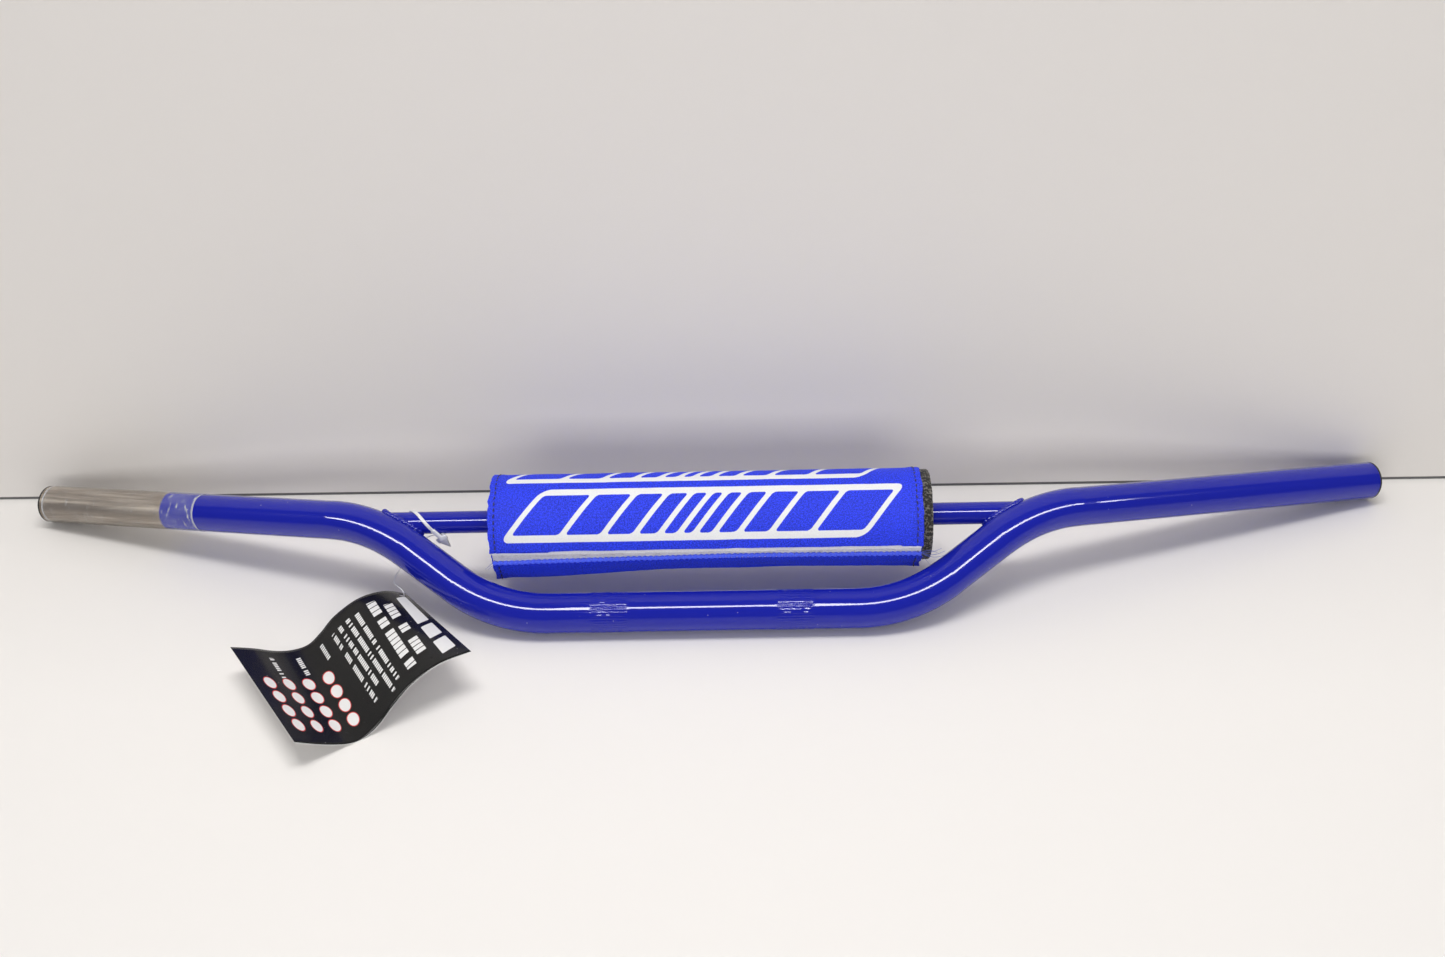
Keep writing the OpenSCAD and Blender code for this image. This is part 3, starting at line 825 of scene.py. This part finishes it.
class HANDLEBAR_OT_tag(bpy.types.Operator):
    """Card tag with its fastener strap and filament"""

    bl_idname = "handlebar.tag"
    bl_label = "Card tag"

    def execute(self, context):
        options = context.scene.handlebar_tag
        nylon = nylon_finish()
        path = filament_route()
        curve = bpy.data.curves.new("tag_filament_line", "CURVE")
        curve.dimensions = "3D"
        spline = curve.splines.new("POLY")
        spline.points.add(len(path) - 1)
        for point, place in zip(spline.points, path):
            point.co = (*(place * MM), 1)
        curve.bevel_depth = FILAMENT_D / 2 * MM
        curve.bevel_resolution = 3
        curve.use_fill_caps = True
        line = show("filament", curve, [nylon], ["tag_filament"])
        self.card(options)
        self.strap(nylon)
        return {"FINISHED"}

    def card(self, options):
        rows, columns = 136, 41
        steps = np.linspace(0, len(EDGE_A) - 1, rows)
        shares = np.linspace(0, 1, columns)
        top = np.array([[tag_point(s, share, TAG_T) for share in shares] for s in steps])
        base = np.array([[tag_point(s, share) for share in shares] for s in steps])
        middle = top[:, columns // 2]
        length = np.concatenate([[0], np.cumsum(np.linalg.norm(np.diff(middle, axis=0), axis=1))])
        flat = np.stack(np.meshgrid(length, shares * TAG_W, indexing="ij"), -1)
        mesh = sheet_mesh("tag_card", top[:, ::-1], base[:, ::-1], "Card", flat[:, ::-1])
        front = (rows - 1) * (columns - 1)
        mesh.polygons.foreach_set("material_index", [0 if i < front else 1 for i in range(len(mesh.polygons))])
        for made in (card_finish(options), board_finish()):
            mesh.materials.append(made)
        solid = bpy.data.objects.new("tag_card_sheet", mesh)
        hole = tag_point(*HOLE_AT) * MM
        drill_mesh = bpy.data.meshes.new("tag_drill")
        shape = bmesh.new()
        bmesh.ops.create_cone(shape, segments=32, radius1=HOLE_D / 2 * MM, radius2=HOLE_D / 2 * MM, depth=0.02,
                              cap_ends=True, matrix=Matrix.Translation(hole))
        shape.to_mesh(drill_mesh)
        shape.free()
        drill = bpy.data.objects.new("tag_drill", drill_mesh)
        for part in (solid, drill):
            bpy.context.scene.collection.objects.link(part)
        cut = solid.modifiers.new("hole", "BOOLEAN")
        cut.object = drill
        cut.solver = "EXACT"
        bpy.context.view_layer.update()
        ready = solid.evaluated_get(bpy.context.evaluated_depsgraph_get())
        final = bpy.data.meshes.new_from_object(ready)
        for part in (solid, drill):
            bpy.data.objects.remove(part)
        final.name = "tag_card"
        return show("tag_card", final, [], ["swing_tag"])

    def strap(self, nylon):
        bundle = Bundle()
        outline = []
        for corner, sweep in (((1, 1), 0), ((-1, 1), 90), ((-1, -1), 180), ((1, -1), 270)):
            for a in (sweep, sweep + 45, sweep + 90):
                turn = math.radians(a)
                outline.append((corner[0] * (STRAP_W / 2 - 0.25) + 0.25 * math.cos(turn),
                                corner[1] * (STRAP_T / 2 - 0.25) + 0.25 * math.sin(turn)))
        rings = []
        for angle in np.linspace(STRAP_FROM, STRAP_TO, 120):
            x = strap_place(angle)
            turn = math.radians(angle)
            for width, depth in outline:
                reach = STRAP_IN + STRAP_T / 2 + depth
                rings.append([x + width, CROSS_Y + reach * math.cos(turn), CROSS_Z + reach * math.sin(turn)])
        count = len(outline)
        bundle.points = rings
        bundle.faces = grid_faces(120, count, closed=True)
        bundle.faces.append(list(range(count))[::-1])
        bundle.faces.append([119 * count + j for j in range(count)])
        self.arrow(bundle)
        return show("tag_strap", bundle.mesh("tag_strap"), [nylon], ["tag_lock"])

    def arrow(self, bundle):
        """Arrow head of the fastener with bevelled edges."""
        shape = [(-1.2, 1), (-1.2, -5), (-3.2, -5), (-3.2, -8), (-2.6, -8), (0, -13.5),
                 (2.6, -8), (3.2, -8), (3.2, -5), (1.2, -5), (1.2, 1)]
        middle = np.array([0, -6.0])
        lean = math.radians(-38)
        first = len(bundle.points)
        levels = ((-STRAP_T, 0.86), (-STRAP_T * 0.7, 1.0), (STRAP_T * 0.7, 1.0), (STRAP_T, 0.86))
        for depth, grow in levels:
            for point in shape:
                p = middle + (np.array(point) - middle) * grow
                x = p[0] * math.cos(lean) + p[1] * math.sin(lean)
                z = -p[0] * math.sin(lean) + p[1] * math.cos(lean)
                bundle.points.append([STRAP_X[2] + x, CROSS_Y - STRAP_IN - STRAP_T + depth, CROSS_Z - 1 + z])
        count = len(shape)
        bundle.faces += grid_faces(len(levels), count, first, closed=True)
        bundle.faces.append([first + j for j in range(count)][::-1])
        bundle.faces.append([first + 3 * count + j for j in range(count)])


class HANDLEBAR_OT_bar(bpy.types.Operator):
    """Paint and black moulding on the CAD nodes that stay as they are"""

    bl_idname = "handlebar.bar"
    bl_label = "Bar finishes"

    def execute(self, context):
        options = context.scene.handlebar_paint
        paint = paint_finish("blue_powder_coat", options)
        plug = plug_finish()
        chosen = {"crossbar": paint, "left_end_plug": plug, "right_end_plug": plug}
        for node, made in chosen.items():
            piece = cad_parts[node]
            for slot in piece.material_slots:
                slot.material = made
        return {"FINISHED"}


def half_line():
    """Centre line of the right half with its way, and how much of a bend each point is in."""
    parts = [(np.zeros(3), 0.0)]
    parts += [(np.array([x, 0.0, 0.0]), 0.0) for x in (20.0, 36.0, 40.0)]
    parts += [(np.array([x, 0.0, 0.0]), 0.0) for x in np.linspace(40.6, 61.4, 27)]
    corners = (np.zeros(3), LOW_CORNER, HIGH_CORNER, END)
    for before, corner, after, radius in zip(corners, corners[1:], corners[2:], BEND_RADII):
        way_in = (corner - before) / np.linalg.norm(corner - before)
        way_out = (after - corner) / np.linalg.norm(after - corner)
        side = way_out - way_in * (way_out @ way_in)
        side /= np.linalg.norm(side)
        turn = math.acos(way_in @ way_out)
        start = corner - way_in * radius * math.tan(turn / 2)
        parts.append((start - way_in * 1.5, 0.0))
        for a in np.linspace(0, turn, 26):
            parts.append((start + way_in * radius * math.sin(a) + side * radius * (1 - math.cos(a)), 1.0))
        parts.append((corner + way_out * (radius * math.tan(turn / 2) + 1.5), 0.0))
    last = parts[-1][0]
    parts += [(last + (END - last) * t, 0.0) for t in np.linspace(0.06, 1, 16)]
    return np.array([p for p, _ in parts]), np.array([b for _, b in parts])


class HANDLEBAR_OT_tube(bpy.types.Operator):
    """Main tube swept along its exact centre line, with its bore and the grooves of both clamp bands"""

    bl_idname = "handlebar.tube"
    bl_label = "Main tube"

    def execute(self, context):
        right, bent = half_line()
        path = np.concatenate([right[:0:-1] * (-1, 1, 1), right])
        bent = np.concatenate([bent[:0:-1], bent])
        around = KNURL_N * 6
        turn = np.arange(around) * 2 * np.pi / around
        wave = 0.5 - 0.5 * np.cos(turn * KNURL_N)
        radii = np.repeat((TUBE_R + BEND_PROUD * bent)[:, None], around, 1)
        for i, point in enumerate(path):
            off = abs(abs(point[0]) - KNURL_X)
            if off > KNURL_W / 2 + 0.8:
                continue
            for j in range(around):
                groove = round(turn[j] * KNURL_N / (2 * math.pi))
                ragged = off + 0.9 * ripple(groove * 1.7, math.copysign(5.0, point[0]))
                share = min(1.0, max(0.0, (KNURL_W / 2 + 0.4 - ragged) / 0.8))
                deep = 0.62 + 0.75 * ripple(point[0] / 3.1, groove * 0.9, 2.0)
                radii[i, j] -= KNURL_DEPTH * wave[j] * share * min(1.0, max(0.12, deep))
        rings = cord_rings(path, radii, around)
        bore = cord_rings(path, BORE_R, around)
        keep = sorted(set(range(0, len(path), 3)) | {0, len(path) - 1})
        bore = bore[keep]
        first = len(path) * around
        faces = grid_faces(len(path), around, turn=True, closed=True)
        faces += grid_faces(len(keep), around, first, closed=True)
        for j in range(around):
            k = (j + 1) % around
            faces.append([j, k, first + k, first + j])
            near, far = first - around, first + (len(keep) - 1) * around
            faces.append([near + k, near + j, far + j, far + k])
        mesh = mesh_of("bar_tube", np.concatenate([rings.reshape(-1, 3), bore.reshape(-1, 3)]), faces)
        shape = bmesh.new()
        shape.from_mesh(mesh)
        bmesh.ops.recalc_face_normals(shape, faces=shape.faces)
        for edge in shape.edges:
            if len(edge.link_faces) == 2 and edge.calc_face_angle() > 1.0:
                edge.smooth = False
        shape.to_mesh(mesh)
        shape.free()
        made = paint_finish("blue_powder_coat_and_steel", context.scene.handlebar_paint, bare=True)
        show("bar_tube", mesh, [made], ["main_tube"])
        return {"FINISHED"}


def weld_seam():
    """Seam between the crossbar and the right upper bend, as a closed line just off both skins."""
    line, _ = half_line()
    fine = np.concatenate([np.linspace(a, b, 12, endpoint=False) for a, b in zip(line, line[1:])])
    seam = []
    for a in np.linspace(0, 2 * math.pi, 161):
        reach = CROSS_R + WELD_OUT
        y, z = CROSS_Y + reach * math.cos(a), CROSS_Z + reach * math.sin(a)
        low, high = HIGH_CORNER[0] - 45.0, HIGH_CORNER[0] + 6.0
        for _ in range(22):
            middle = (low + high) / 2
            if np.linalg.norm(fine - (middle, y, z), axis=1).min() > TUBE_R + BEND_PROUD + WELD_OUT:
                low = middle
            else:
                high = middle
        seam.append((low, y, z))
    return np.array(seam)


class HANDLEBAR_OT_welds(bpy.types.Operator):
    """Rippled weld beads on the two seams of the crossbar"""

    bl_idname = "handlebar.welds"
    bl_label = "Weld beads"

    def execute(self, context):
        seam = weld_seam()
        length = np.concatenate([[0], np.cumsum(np.linalg.norm(np.diff(seam, axis=0), axis=1))])
        count = round(length[-1] / WELD_PITCH)
        at = np.linspace(0, length[-1], count * 10 + 1)
        path = np.stack([np.interp(at, length, seam[:, k]) for k in range(3)], 1)
        paint = paint_finish("blue_powder_coat_on_welds", context.scene.handlebar_paint)
        for side, name in ((1, "right_weld"), (-1, "left_weld")):
            bundle = Bundle()
            ripples = np.abs(np.sin(at / length[-1] * count * math.pi))
            uneven = np.array([ripple(x / 5.0, 3.0 + side) for x in at])
            bundle.tube(path * (side, 1, 1), 1.3 + 0.34 * ripples + 0.3 * uneven, 16)
            show("bead_" + name, bundle.mesh("bead_" + name), [paint], [name])
        return {"FINISHED"}


class HANDLEBAR_OT_film(bpy.types.Operator):
    """Clear film round the left grip end"""

    bl_idname = "handlebar.film"
    bl_label = "Film"

    def execute(self, context):
        options = context.scene.handlebar_paint
        film_l = options.film_l / MM
        way = GRIP_DIR * (-1, 1, 1)
        end = END * (-1, 1, 1) - way * 1.6
        side = np.cross(way, (0, 0, 1))
        side /= np.linalg.norm(side)
        up = np.cross(side, way)
        rows, around = 126, 96
        outer = np.zeros((rows, around + 1, 3))
        inner = np.zeros((rows, around + 1, 3))
        flat = np.zeros((rows, around + 1, 2))
        for i in range(rows):
            for j in range(around + 1):
                turn = 2 * math.pi * (j / around) * 1.03
                share = i / (rows - 1)
                wave = 1.6 * ripple(math.cos(turn) * 0.9, math.sin(turn) * 0.9, 4.0) * share
                s = share * film_l + wave - 1.2 * share
                crease = ripple(s * 0.09, math.cos(turn) * 2.2, math.sin(turn) * 2.2)
                lift = 0.05 + 0.1 * max(0.0, crease) + 0.04 * (j / around)
                lift += 0.2 * max(0.0, share - 0.95) / 0.05 * abs(math.sin(turn * 3))
                out = math.cos(turn) * side + math.sin(turn) * up
                outer[i, j] = end - way * s + out * (TUBE_R + lift + 0.05)
                inner[i, j] = end - way * s + out * (TUBE_R + lift - 0.02)
                flat[i, j] = (share * 100, 100 * j / around)
        mesh = sheet_mesh("grip_film", outer, inner, "Wrap", flat)
        show("grip_film", mesh, [film_finish()], ["film_sleeve"])
        return {"FINISHED"}


class HANDLEBAR_OT_foam(bpy.types.Operator):
    """Foam roll round the crossbar, with its slit at the back"""

    bl_idname = "handlebar.foam"
    bl_label = "Foam roll"

    def execute(self, context):
        left, right = foam_low.x / MM, foam_high.x / MM
        slit = math.degrees(math.asin(0.5 / FOAM_R))
        angles = np.radians(np.linspace(slit, 360 - slit, 180))
        bore = CROSS_R + 0.06
        stations = [(left + 1.2, bore)]
        stations += [(left, r) for r in np.linspace(bore + 0.8, FOAM_R - 1.4, 12)]
        stations += [(left + 0.5, FOAM_R - 0.4)]
        stations += [(x, FOAM_R) for x in np.linspace(left + 1.4, right - 1.4, 90)]
        stations += [(right - 0.5, FOAM_R - 0.4)]
        stations += [(right, r) for r in np.linspace(FOAM_R - 1.4, bore + 0.8, 12)]
        stations += [(right - 1.2, bore)]
        points = np.zeros((len(stations), len(angles), 3))
        for i, (x, r) in enumerate(stations):
            for j, a in enumerate(angles):
                c, s = math.cos(a), math.sin(a)
                rough = 0.28 * ripple(x * 0.9, c * r * 0.9, s * r * 0.9) + 0.2 * ripple(x * 0.2, c * r * 0.2, s * r * 0.2)
                face = 1.0 if (x <= left + 0.1 or x >= right - 0.1) else 0.0
                reach = r + (0 if r < FOAM_R - 2 else min(0.0, rough))
                shift = face * rough * (1 if x < 0 else -1)
                points[i, j] = (x + abs(shift) * (1 if x < 0 else -1), CROSS_Y + reach * c, CROSS_Z + reach * s)
        rows, columns = points.shape[:2]
        faces = grid_faces(rows, columns, turn=True)
        faces += [[(i + 1) * columns, i * columns, (rows - 1 - i) * columns, (rows - 2 - i) * columns]
                  for i in range(rows // 2 - 1)]
        edge = columns - 1
        faces += [[i * columns + edge, (i + 1) * columns + edge, (rows - 2 - i) * columns + edge,
                   (rows - 1 - i) * columns + edge] for i in range(rows // 2 - 1)]
        faces += [[(rows - 1) * columns + j + 1, (rows - 1) * columns + j, j, j + 1] for j in range(columns - 1)]
        mesh = mesh_of("foam_roll", points.reshape(-1, 3), faces)
        piece = show("foam_roll", mesh, [foam_finish(context.scene.handlebar_pad)], ["foam_core"])
        return {"FINISHED"}


def cloth_shape(left_slack):
    """Outer and inner grids of the cover's cloth, and its flat coordinates."""
    section, at = cloth_outline()
    out = outward(section)
    total = at[-1]
    fold_at = at[np.argmin(np.linalg.norm(section - FOLD, axis=1))]
    span = COVER_RIGHT - COVER_LEFT
    stations = np.concatenate([[0, 0.4, 0.9, 1.5, 2.1, 2.7, 3.2, 3.7, 4.3, 5, 6], np.linspace(7.4, span - 7.4, 150),
                               [span - d for d in (6, 5, 4.3, 3.7, 3.2, 2.7, 2.1, 1.5, 0.9, 0.4, 0)]])
    outer = np.zeros((len(stations), len(at), 3))
    inner = np.zeros_like(outer)
    flat = np.zeros((len(stations), len(at), 2))
    for i, d in enumerate(stations):
        x = COVER_LEFT + d
        e = min(d, span - d)
        side = 0.0 if d < span / 2 else 50.0
        slack = slack_at(x, left_slack)
        for j, v in enumerate(at):
            near_end = math.exp(-e / 9)
            lift = 0.22 * ripple(x / 26, v / 19) + 0.08 * ripple(x / 7, v / 6, 3)
            lift += near_end * 0.55 * ripple(v / 6.5, side, x / 14)
            lift += 0.3 * (1 if e < 5.2 else math.exp(-(e - 5.2)))
            lift -= 0.65 * bell(e, 3.2, 0.6) * (0.6 + 0.4 * math.sin(v * 1.75))
            edge = math.exp(-v / 4)
            lift += edge * (0.25 + 0.5 * ripple(x / 15, 7.0)) + 0.9 * bell(x, 20, 7) * edge
            flap = bell(v, fold_at, 11)
            hang = slack * flap + 0.5 * flap * ripple(x / 34, v / 5, 9)
            tuck = -0.5 * max(0.0, (v - total + 20) / 20)
            shift = (0.9 * ripple(v / 8, side + 5) + 0.5 * ripple(v / 2.6, side + 9)) * math.exp(-e / 4)
            p = section[j] + out[j] * (lift + hang + tuck)
            p = p + np.array([0, 1.0]) * 0.9 * bell(x, 20, 6) * math.exp(-v / 5)
            thick = CLOTH_T + 0.4 * math.exp(-((v / 6) ** 4)) + (0.35 if e < 5.2 else 0)
            outer[i, j] = (x + shift, CROSS_Y + p[0], CROSS_Z + p[1])
            q = p - out[j] * thick
            inner[i, j] = (x + shift, CROSS_Y + q[0], CROSS_Z + q[1])
            flat[i, j] = (x - (COVER_LEFT + COVER_RIGHT) / 2, v)
    return outer, inner, flat, section, out, at


class HANDLEBAR_OT_cover(bpy.types.Operator):
    """Printed cloth cover with its slack lower flap, hem stitches and overlocked edge"""

    bl_idname = "handlebar.cover"
    bl_label = "Cloth cover"

    def execute(self, context):
        options = context.scene.handlebar_pad
        outer, inner, flat, section, out, at = cloth_shape(options.slack / MM)
        mesh = sheet_mesh("cover_cloth", outer, inner, "Cloth", flat)
        cloth = show("cover_cloth", mesh, [cloth_finish(options)], ["pad_cover"])
        stitches = self.stitches(options, outer, at)
        rope = self.overlock(options)
        frays = self.frays(options)
        return {"FINISHED"}

    def stitches(self, options, outer, at):
        """Short dark stitches sunk in both hems."""
        bundle = Bundle()
        step = options.stitch_l / MM + 1.2
        for row, sign in ((6, 1), (outer.shape[0] - 7, -1)):
            line = outer[row]
            for start in np.arange(2.0, at[-1] - 20, step):
                stops = np.linspace(start, start + options.stitch_l / MM, 5)
                path = np.stack([np.interp(stops, at, line[:, k]) for k in range(3)], 1)
                centre = np.array([0, CROSS_Y, CROSS_Z])
                away = (path - centre) * (0, 1, 1)
                away /= np.linalg.norm(away, axis=1)[:, None]
                arch = np.sin(np.linspace(0, math.pi, 5))[:, None]
                path = path + away * (0.05 + 0.2 * arch)
                path[:, 0] += sign * 0.12 * np.linspace(-1, 1, 5)
                bundle.tube(path, [0.2, 0.38, 0.42, 0.38, 0.2], 6)
        return show("hem_stitches", bundle.mesh("hem_stitches"), [thread_finish("hem_thread", options.thread)], [])

    def overlock(self, options):
        """Rope of slanted stitches along the flap's upper edge."""
        xs = np.linspace(COVER_LEFT + 0.5, COVER_RIGHT - 0.5, 1500)
        angle = np.interp(xs, [-117, -60, 20, 122], [201, 197, 193.5, 195.5])
        angle = angle + np.array([0.8 * ripple(x / 16, 2.0) for x in xs])
        reach = np.array([27.6 + 0.2 * ripple(x / 9, 5.0) for x in xs])
        section = np.stack([reach * np.cos(np.radians(angle)), reach * np.sin(np.radians(angle))], 1)
        path = along_bar(xs, section)
        around = 12
        turn = np.arange(around) * 2 * np.pi / around
        twist = np.abs(np.sin(xs[:, None] * math.pi / 3.1 + turn[None]))
        radii = 0.6 + 0.78 * twist
        radii[:3] *= np.array([0.3, 0.7, 0.9])[:, None]
        radii[-3:] *= np.array([0.9, 0.7, 0.3])[:, None]
        bundle = Bundle()
        bundle.tube(path, radii, around)
        # The tone of 1.5 makes the rope lighter than the cloth, past a base colour of 1 in blue: painted light where
        # the flap's upper edge catches the lamp.
        made = thread_finish("overlock_thread", (0.06, 0.12, 0.98), 1.5)
        return show("overlocked_edge", bundle.mesh("overlocked_edge"), [made], [])

    def frays(self, options):
        """Loose thread ends at the flap's two corners."""
        rng = np.random.default_rng(11)
        bundle = Bundle()
        for x, sign, angle, count in ((COVER_LEFT + 0.6, -1, 200, 3), (COVER_RIGHT - 0.6, 1, 196, 8)):
            for _ in range(count):
                a = math.radians(angle + rng.uniform(-5, 6))
                start = np.array([x - sign * rng.uniform(0, 3), CROSS_Y + 27 * math.cos(a), CROSS_Z + 27 * math.sin(a)])
                way = np.array([sign * rng.uniform(0.3, 1.0), rng.uniform(-0.6, 0.1), rng.uniform(-0.9, 0.5)])
                curl = rng.normal(size=3) * 0.5
                length = rng.uniform(2.5, 6.5)
                path = [start + way * length * t + curl * length * t * t * 0.7 for t in np.linspace(0, 1, 9)]
                bundle.tube(path, np.linspace(0.13, 0.06, 9), 5)
        corner = np.array([COVER_RIGHT - 0.8, CROSS_Y - 25.9, CROSS_Z - 7.4])
        for reach, rise, bow in ((13, 1.6, 2.2), (11, 3.4, 1.2), (14.5, -0.4, 2.8), (9, 0.6, -1.2), (7, -2.4, 1.0)):
            path = [corner + (reach * t, -1.2 * t, rise * t - bow * math.sin(math.pi * t)) for t in np.linspace(0, 1, 15)]
            bundle.tube(path, np.linspace(0.16, 0.08, 15), 5)
        return show("frayed_ends", bundle.mesh("frayed_ends"),
                    [thread_finish("frayed_thread", (0.1, 0.16, 0.8), 0.8)], [])


class HANDLEBAR_OT_tapes(bpy.types.Operator):
    """Hook tape under the panel's edge and loop tape on the flap"""

    bl_idname = "handlebar.tapes"
    bl_label = "Fastening tapes"

    def execute(self, context):
        options = context.scene.handlebar_pad
        hook = tape_finish(options, "hook_tape_weave", 1.0, (0.35, 4.0, 1.0))
        loop = tape_finish(options, "loop_tape_pile", 0.85, (0.5, 2.2, 1.0))
        self.strip("tape_hook", hook, "hook_tape", (165, 180.2), 28.15, 2.8, 0.14, 0.9)
        self.strip("tape_loop", loop, "loop_tape", (170, 199.5), 26.95, 0.0, 0.3, 0.0)
        self.pile(context, loop)
        return {"FINISHED"}

    def strip(self, name, made, node, angles, radius, drop, rough, wavy):
        xs = np.linspace(COVER_LEFT + 0.9, COVER_RIGHT - 0.9, 400)
        sweep = np.radians(np.linspace(*angles, 26))
        outer = np.zeros((len(xs), len(sweep), 3))
        inner = np.zeros_like(outer)
        flat = np.zeros((len(xs), len(sweep), 2))
        for i, x in enumerate(xs):
            for j, a in enumerate(sweep):
                share = j / (len(sweep) - 1)
                reach = radius + rough * ripple(x * 1.1, a * radius * 1.3, radius)
                reach += wavy * share * (0.35 * ripple(x / 11, 3.0) + 1.2 * bell(x, 20, 8))
                sag = wavy * share * (0.02 * ripple(x / 13, 8.0) - 0.03 * bell(x, 14, 9))
                for grid, r in ((outer, reach), (inner, radius - 0.6)):
                    grid[i, j] = (x, CROSS_Y + r * math.cos(a + sag), CROSS_Z + r * math.sin(a + sag) - drop)
                flat[i, j] = (x, a * radius)
        show(name, sheet_mesh(name, outer[:, ::-1], inner[:, ::-1], "Cloth", flat[:, ::-1]), [made], [node])

    def pile(self, context, made):
        """Short loops and fibres that stand off the loop tape."""
        rng = np.random.default_rng(5)
        bundle = Bundle()
        for _ in range(1500):
            x = rng.uniform(COVER_LEFT + 1.5, COVER_RIGHT - 1.5)
            a = math.radians(rng.uniform(177, 196))
            root = np.array([x, CROSS_Y + 26.9 * math.cos(a), CROSS_Z + 26.9 * math.sin(a)])
            up = np.array([0, math.cos(a), math.sin(a)])
            lie = np.array([rng.normal() * 1.4, -up[2] * rng.normal() * 0.4, up[1] * rng.normal() * 0.4])
            height = rng.uniform(0.15, 0.55)
            path = [root + lie * t + up * height * math.sin(math.pi * t) for t in np.linspace(0, 1, 5)]
            bundle.tube(path, 0.055, 3)
        show("tape_pile", bundle.mesh("tape_pile"), [thread_finish("pile_fibre", (0.72, 0.72, 0.78))], [])


class HANDLEBAR_OT_stage(bpy.types.Operator):
    """Table, wall and lamps"""

    bl_idname = "handlebar.stage"
    bl_label = "Table, wall and lamps"

    def execute(self, context):
        options = context.scene.handlebar_stage
        self.plane("table", [(-4, -4, 0), (4, -4, 0), (4, 4, 0), (-4, 4, 0)], (0, 0, TABLE * MM),
                   self.plain("table_white", options.table, 0.3))
        lean = math.radians(-0.35)
        wall = [(-3, 0, 0), (3, 0, 0), (3, 0, 1.2), (-3, 0, 1.2)]
        base = [(-3, -0.0005, 0), (3, -0.0005, 0), (3, -0.0005, 0.0018), (-3, -0.0005, 0.0018)]
        for name, corners, colour in (("wall", wall, options.wall), ("wall_base", base, grey(0.16))):
            made = self.plane(name, corners, (0, options.wall_y, TABLE * MM), self.one_sided(name, colour))
            made.rotation_euler.z = lean
        self.lamp("strip_lamp", (0, -0.78, 1.46), (4.4, 0.22), options.strip, True)
        self.lamp("soft_lamp", (0, 0.0, 1.9), (1.3, 0.5), options.soft, False)
        self.lamp("fill_lamp", (0, -1.5, 0.5), (1.6, 0.5), options.fill, False)
        world = bpy.data.worlds.new("room")
        context.scene.world = world
        world.use_nodes = True
        back = world.node_tree.nodes["Background"]
        back.inputs[0].default_value = (0.96, 0.97, 1.0, 1.0)
        w = Wires(world.node_tree)
        w.put(back, 1, w.blend(w.node("LightPath").outputs["Is Glossy Ray"], options.sky, options.mirrored))
        context.scene.view_settings.view_transform = "Standard"
        return {"FINISHED"}

    def plain(self, name, colour, rough):
        made, w, shader = finish(name, Specular_IOR_Level=0.2, Roughness=rough)
        tone = w.noise(w.place(), 1.5, 2.0)
        w.put(shader, "Base Color", w.shade(tuple(colour[:3]), w.math("MULTIPLY_ADD", tone, 0.03, 0.985)))
        return made

    def one_sided(self, name, colour):
        """Wall that is see-through from behind."""
        made, w, shader = finish(name + "_paint", Base_Color=tuple(colour), Roughness=0.9, Specular_IOR_Level=0.0)
        clear = w.node("BsdfTransparent")
        behind = w.node("NewGeometry").outputs["Backfacing"]
        mixed = w.node("MixShader")
        w.put(mixed, 0, behind)
        w.put(mixed, 1, shader.outputs[0])
        w.put(mixed, 2, clear.outputs[0])
        out = next(n for n in made.node_tree.nodes if n.type == "OUTPUT_MATERIAL")
        w.put(out, "Surface", mixed.outputs[0])
        return made

    def plane(self, name, corners, at, made):
        mesh = bpy.data.meshes.new(name)
        mesh.from_pydata(corners, [], [(0, 1, 2, 3)])
        mesh.materials.append(made)
        piece = bpy.data.objects.new(name, mesh)
        piece.location = at
        bpy.context.scene.collection.objects.link(piece)
        return piece

    def lamp(self, name, at, size, power, mirrored):
        """Area lamp that is either seen in reflections alone or only lights things."""
        light = bpy.data.lights.new(name, "AREA")
        light.shape = "RECTANGLE"
        light.size, light.size_y = size
        light.energy = power
        light.color = (1.0, 0.985, 0.96)
        lamp = bpy.data.objects.new(name, light)
        lamp.location = at
        lamp.visible_glossy = mirrored
        lamp.visible_diffuse = not mirrored
        aim = Vector((0, 0.05, 0)) - Vector(at)
        lamp.rotation_euler = aim.to_track_quat("-Z", "Y").to_euler()
        bpy.context.scene.collection.objects.link(lamp)


STEPS = (HANDLEBAR_OT_camera, HANDLEBAR_OT_tag, HANDLEBAR_OT_bar, HANDLEBAR_OT_tube, HANDLEBAR_OT_welds,
         HANDLEBAR_OT_film, HANDLEBAR_OT_foam, HANDLEBAR_OT_cover, HANDLEBAR_OT_tapes, HANDLEBAR_OT_stage)
GROUPS = {"handlebar_paint": HandlebarPaint, "handlebar_pad": HandlebarPad, "handlebar_tag": HandlebarTag,
          "handlebar_stage": HandlebarStage}


class HANDLEBAR_PT_panel(bpy.types.Panel):
    """Sizes, colours and steps of the handlebar"""

    bl_label = "Handlebar"
    bl_idname = "HANDLEBAR_PT_panel"
    bl_space_type = "VIEW_3D"
    bl_region_type = "UI"
    bl_category = "Handlebar"

    def draw(self, context):
        for key, group in GROUPS.items():
            box = self.layout.box()
            for prop in group.__annotations__:
                box.prop(getattr(context.scene, key), prop)
        for step in STEPS:
            self.layout.operator(step.bl_idname)


CLASSES = (*GROUPS.values(), *STEPS, HANDLEBAR_PT_panel)


def register():
    for made in CLASSES:
        bpy.utils.register_class(made)
    for key, group in GROUPS.items():
        setattr(bpy.types.Scene, key, PointerProperty(type=group))


def unregister():
    for key in GROUPS:
        delattr(bpy.types.Scene, key)
    for made in reversed(CLASSES):
        bpy.utils.unregister_class(made)


def main():
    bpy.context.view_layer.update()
    register()
    build_effects()
    for step in STEPS:
        space, name = step.bl_idname.split(".")
        getattr(getattr(bpy.ops, space), name)()


if __name__ == "__main__":
    main()
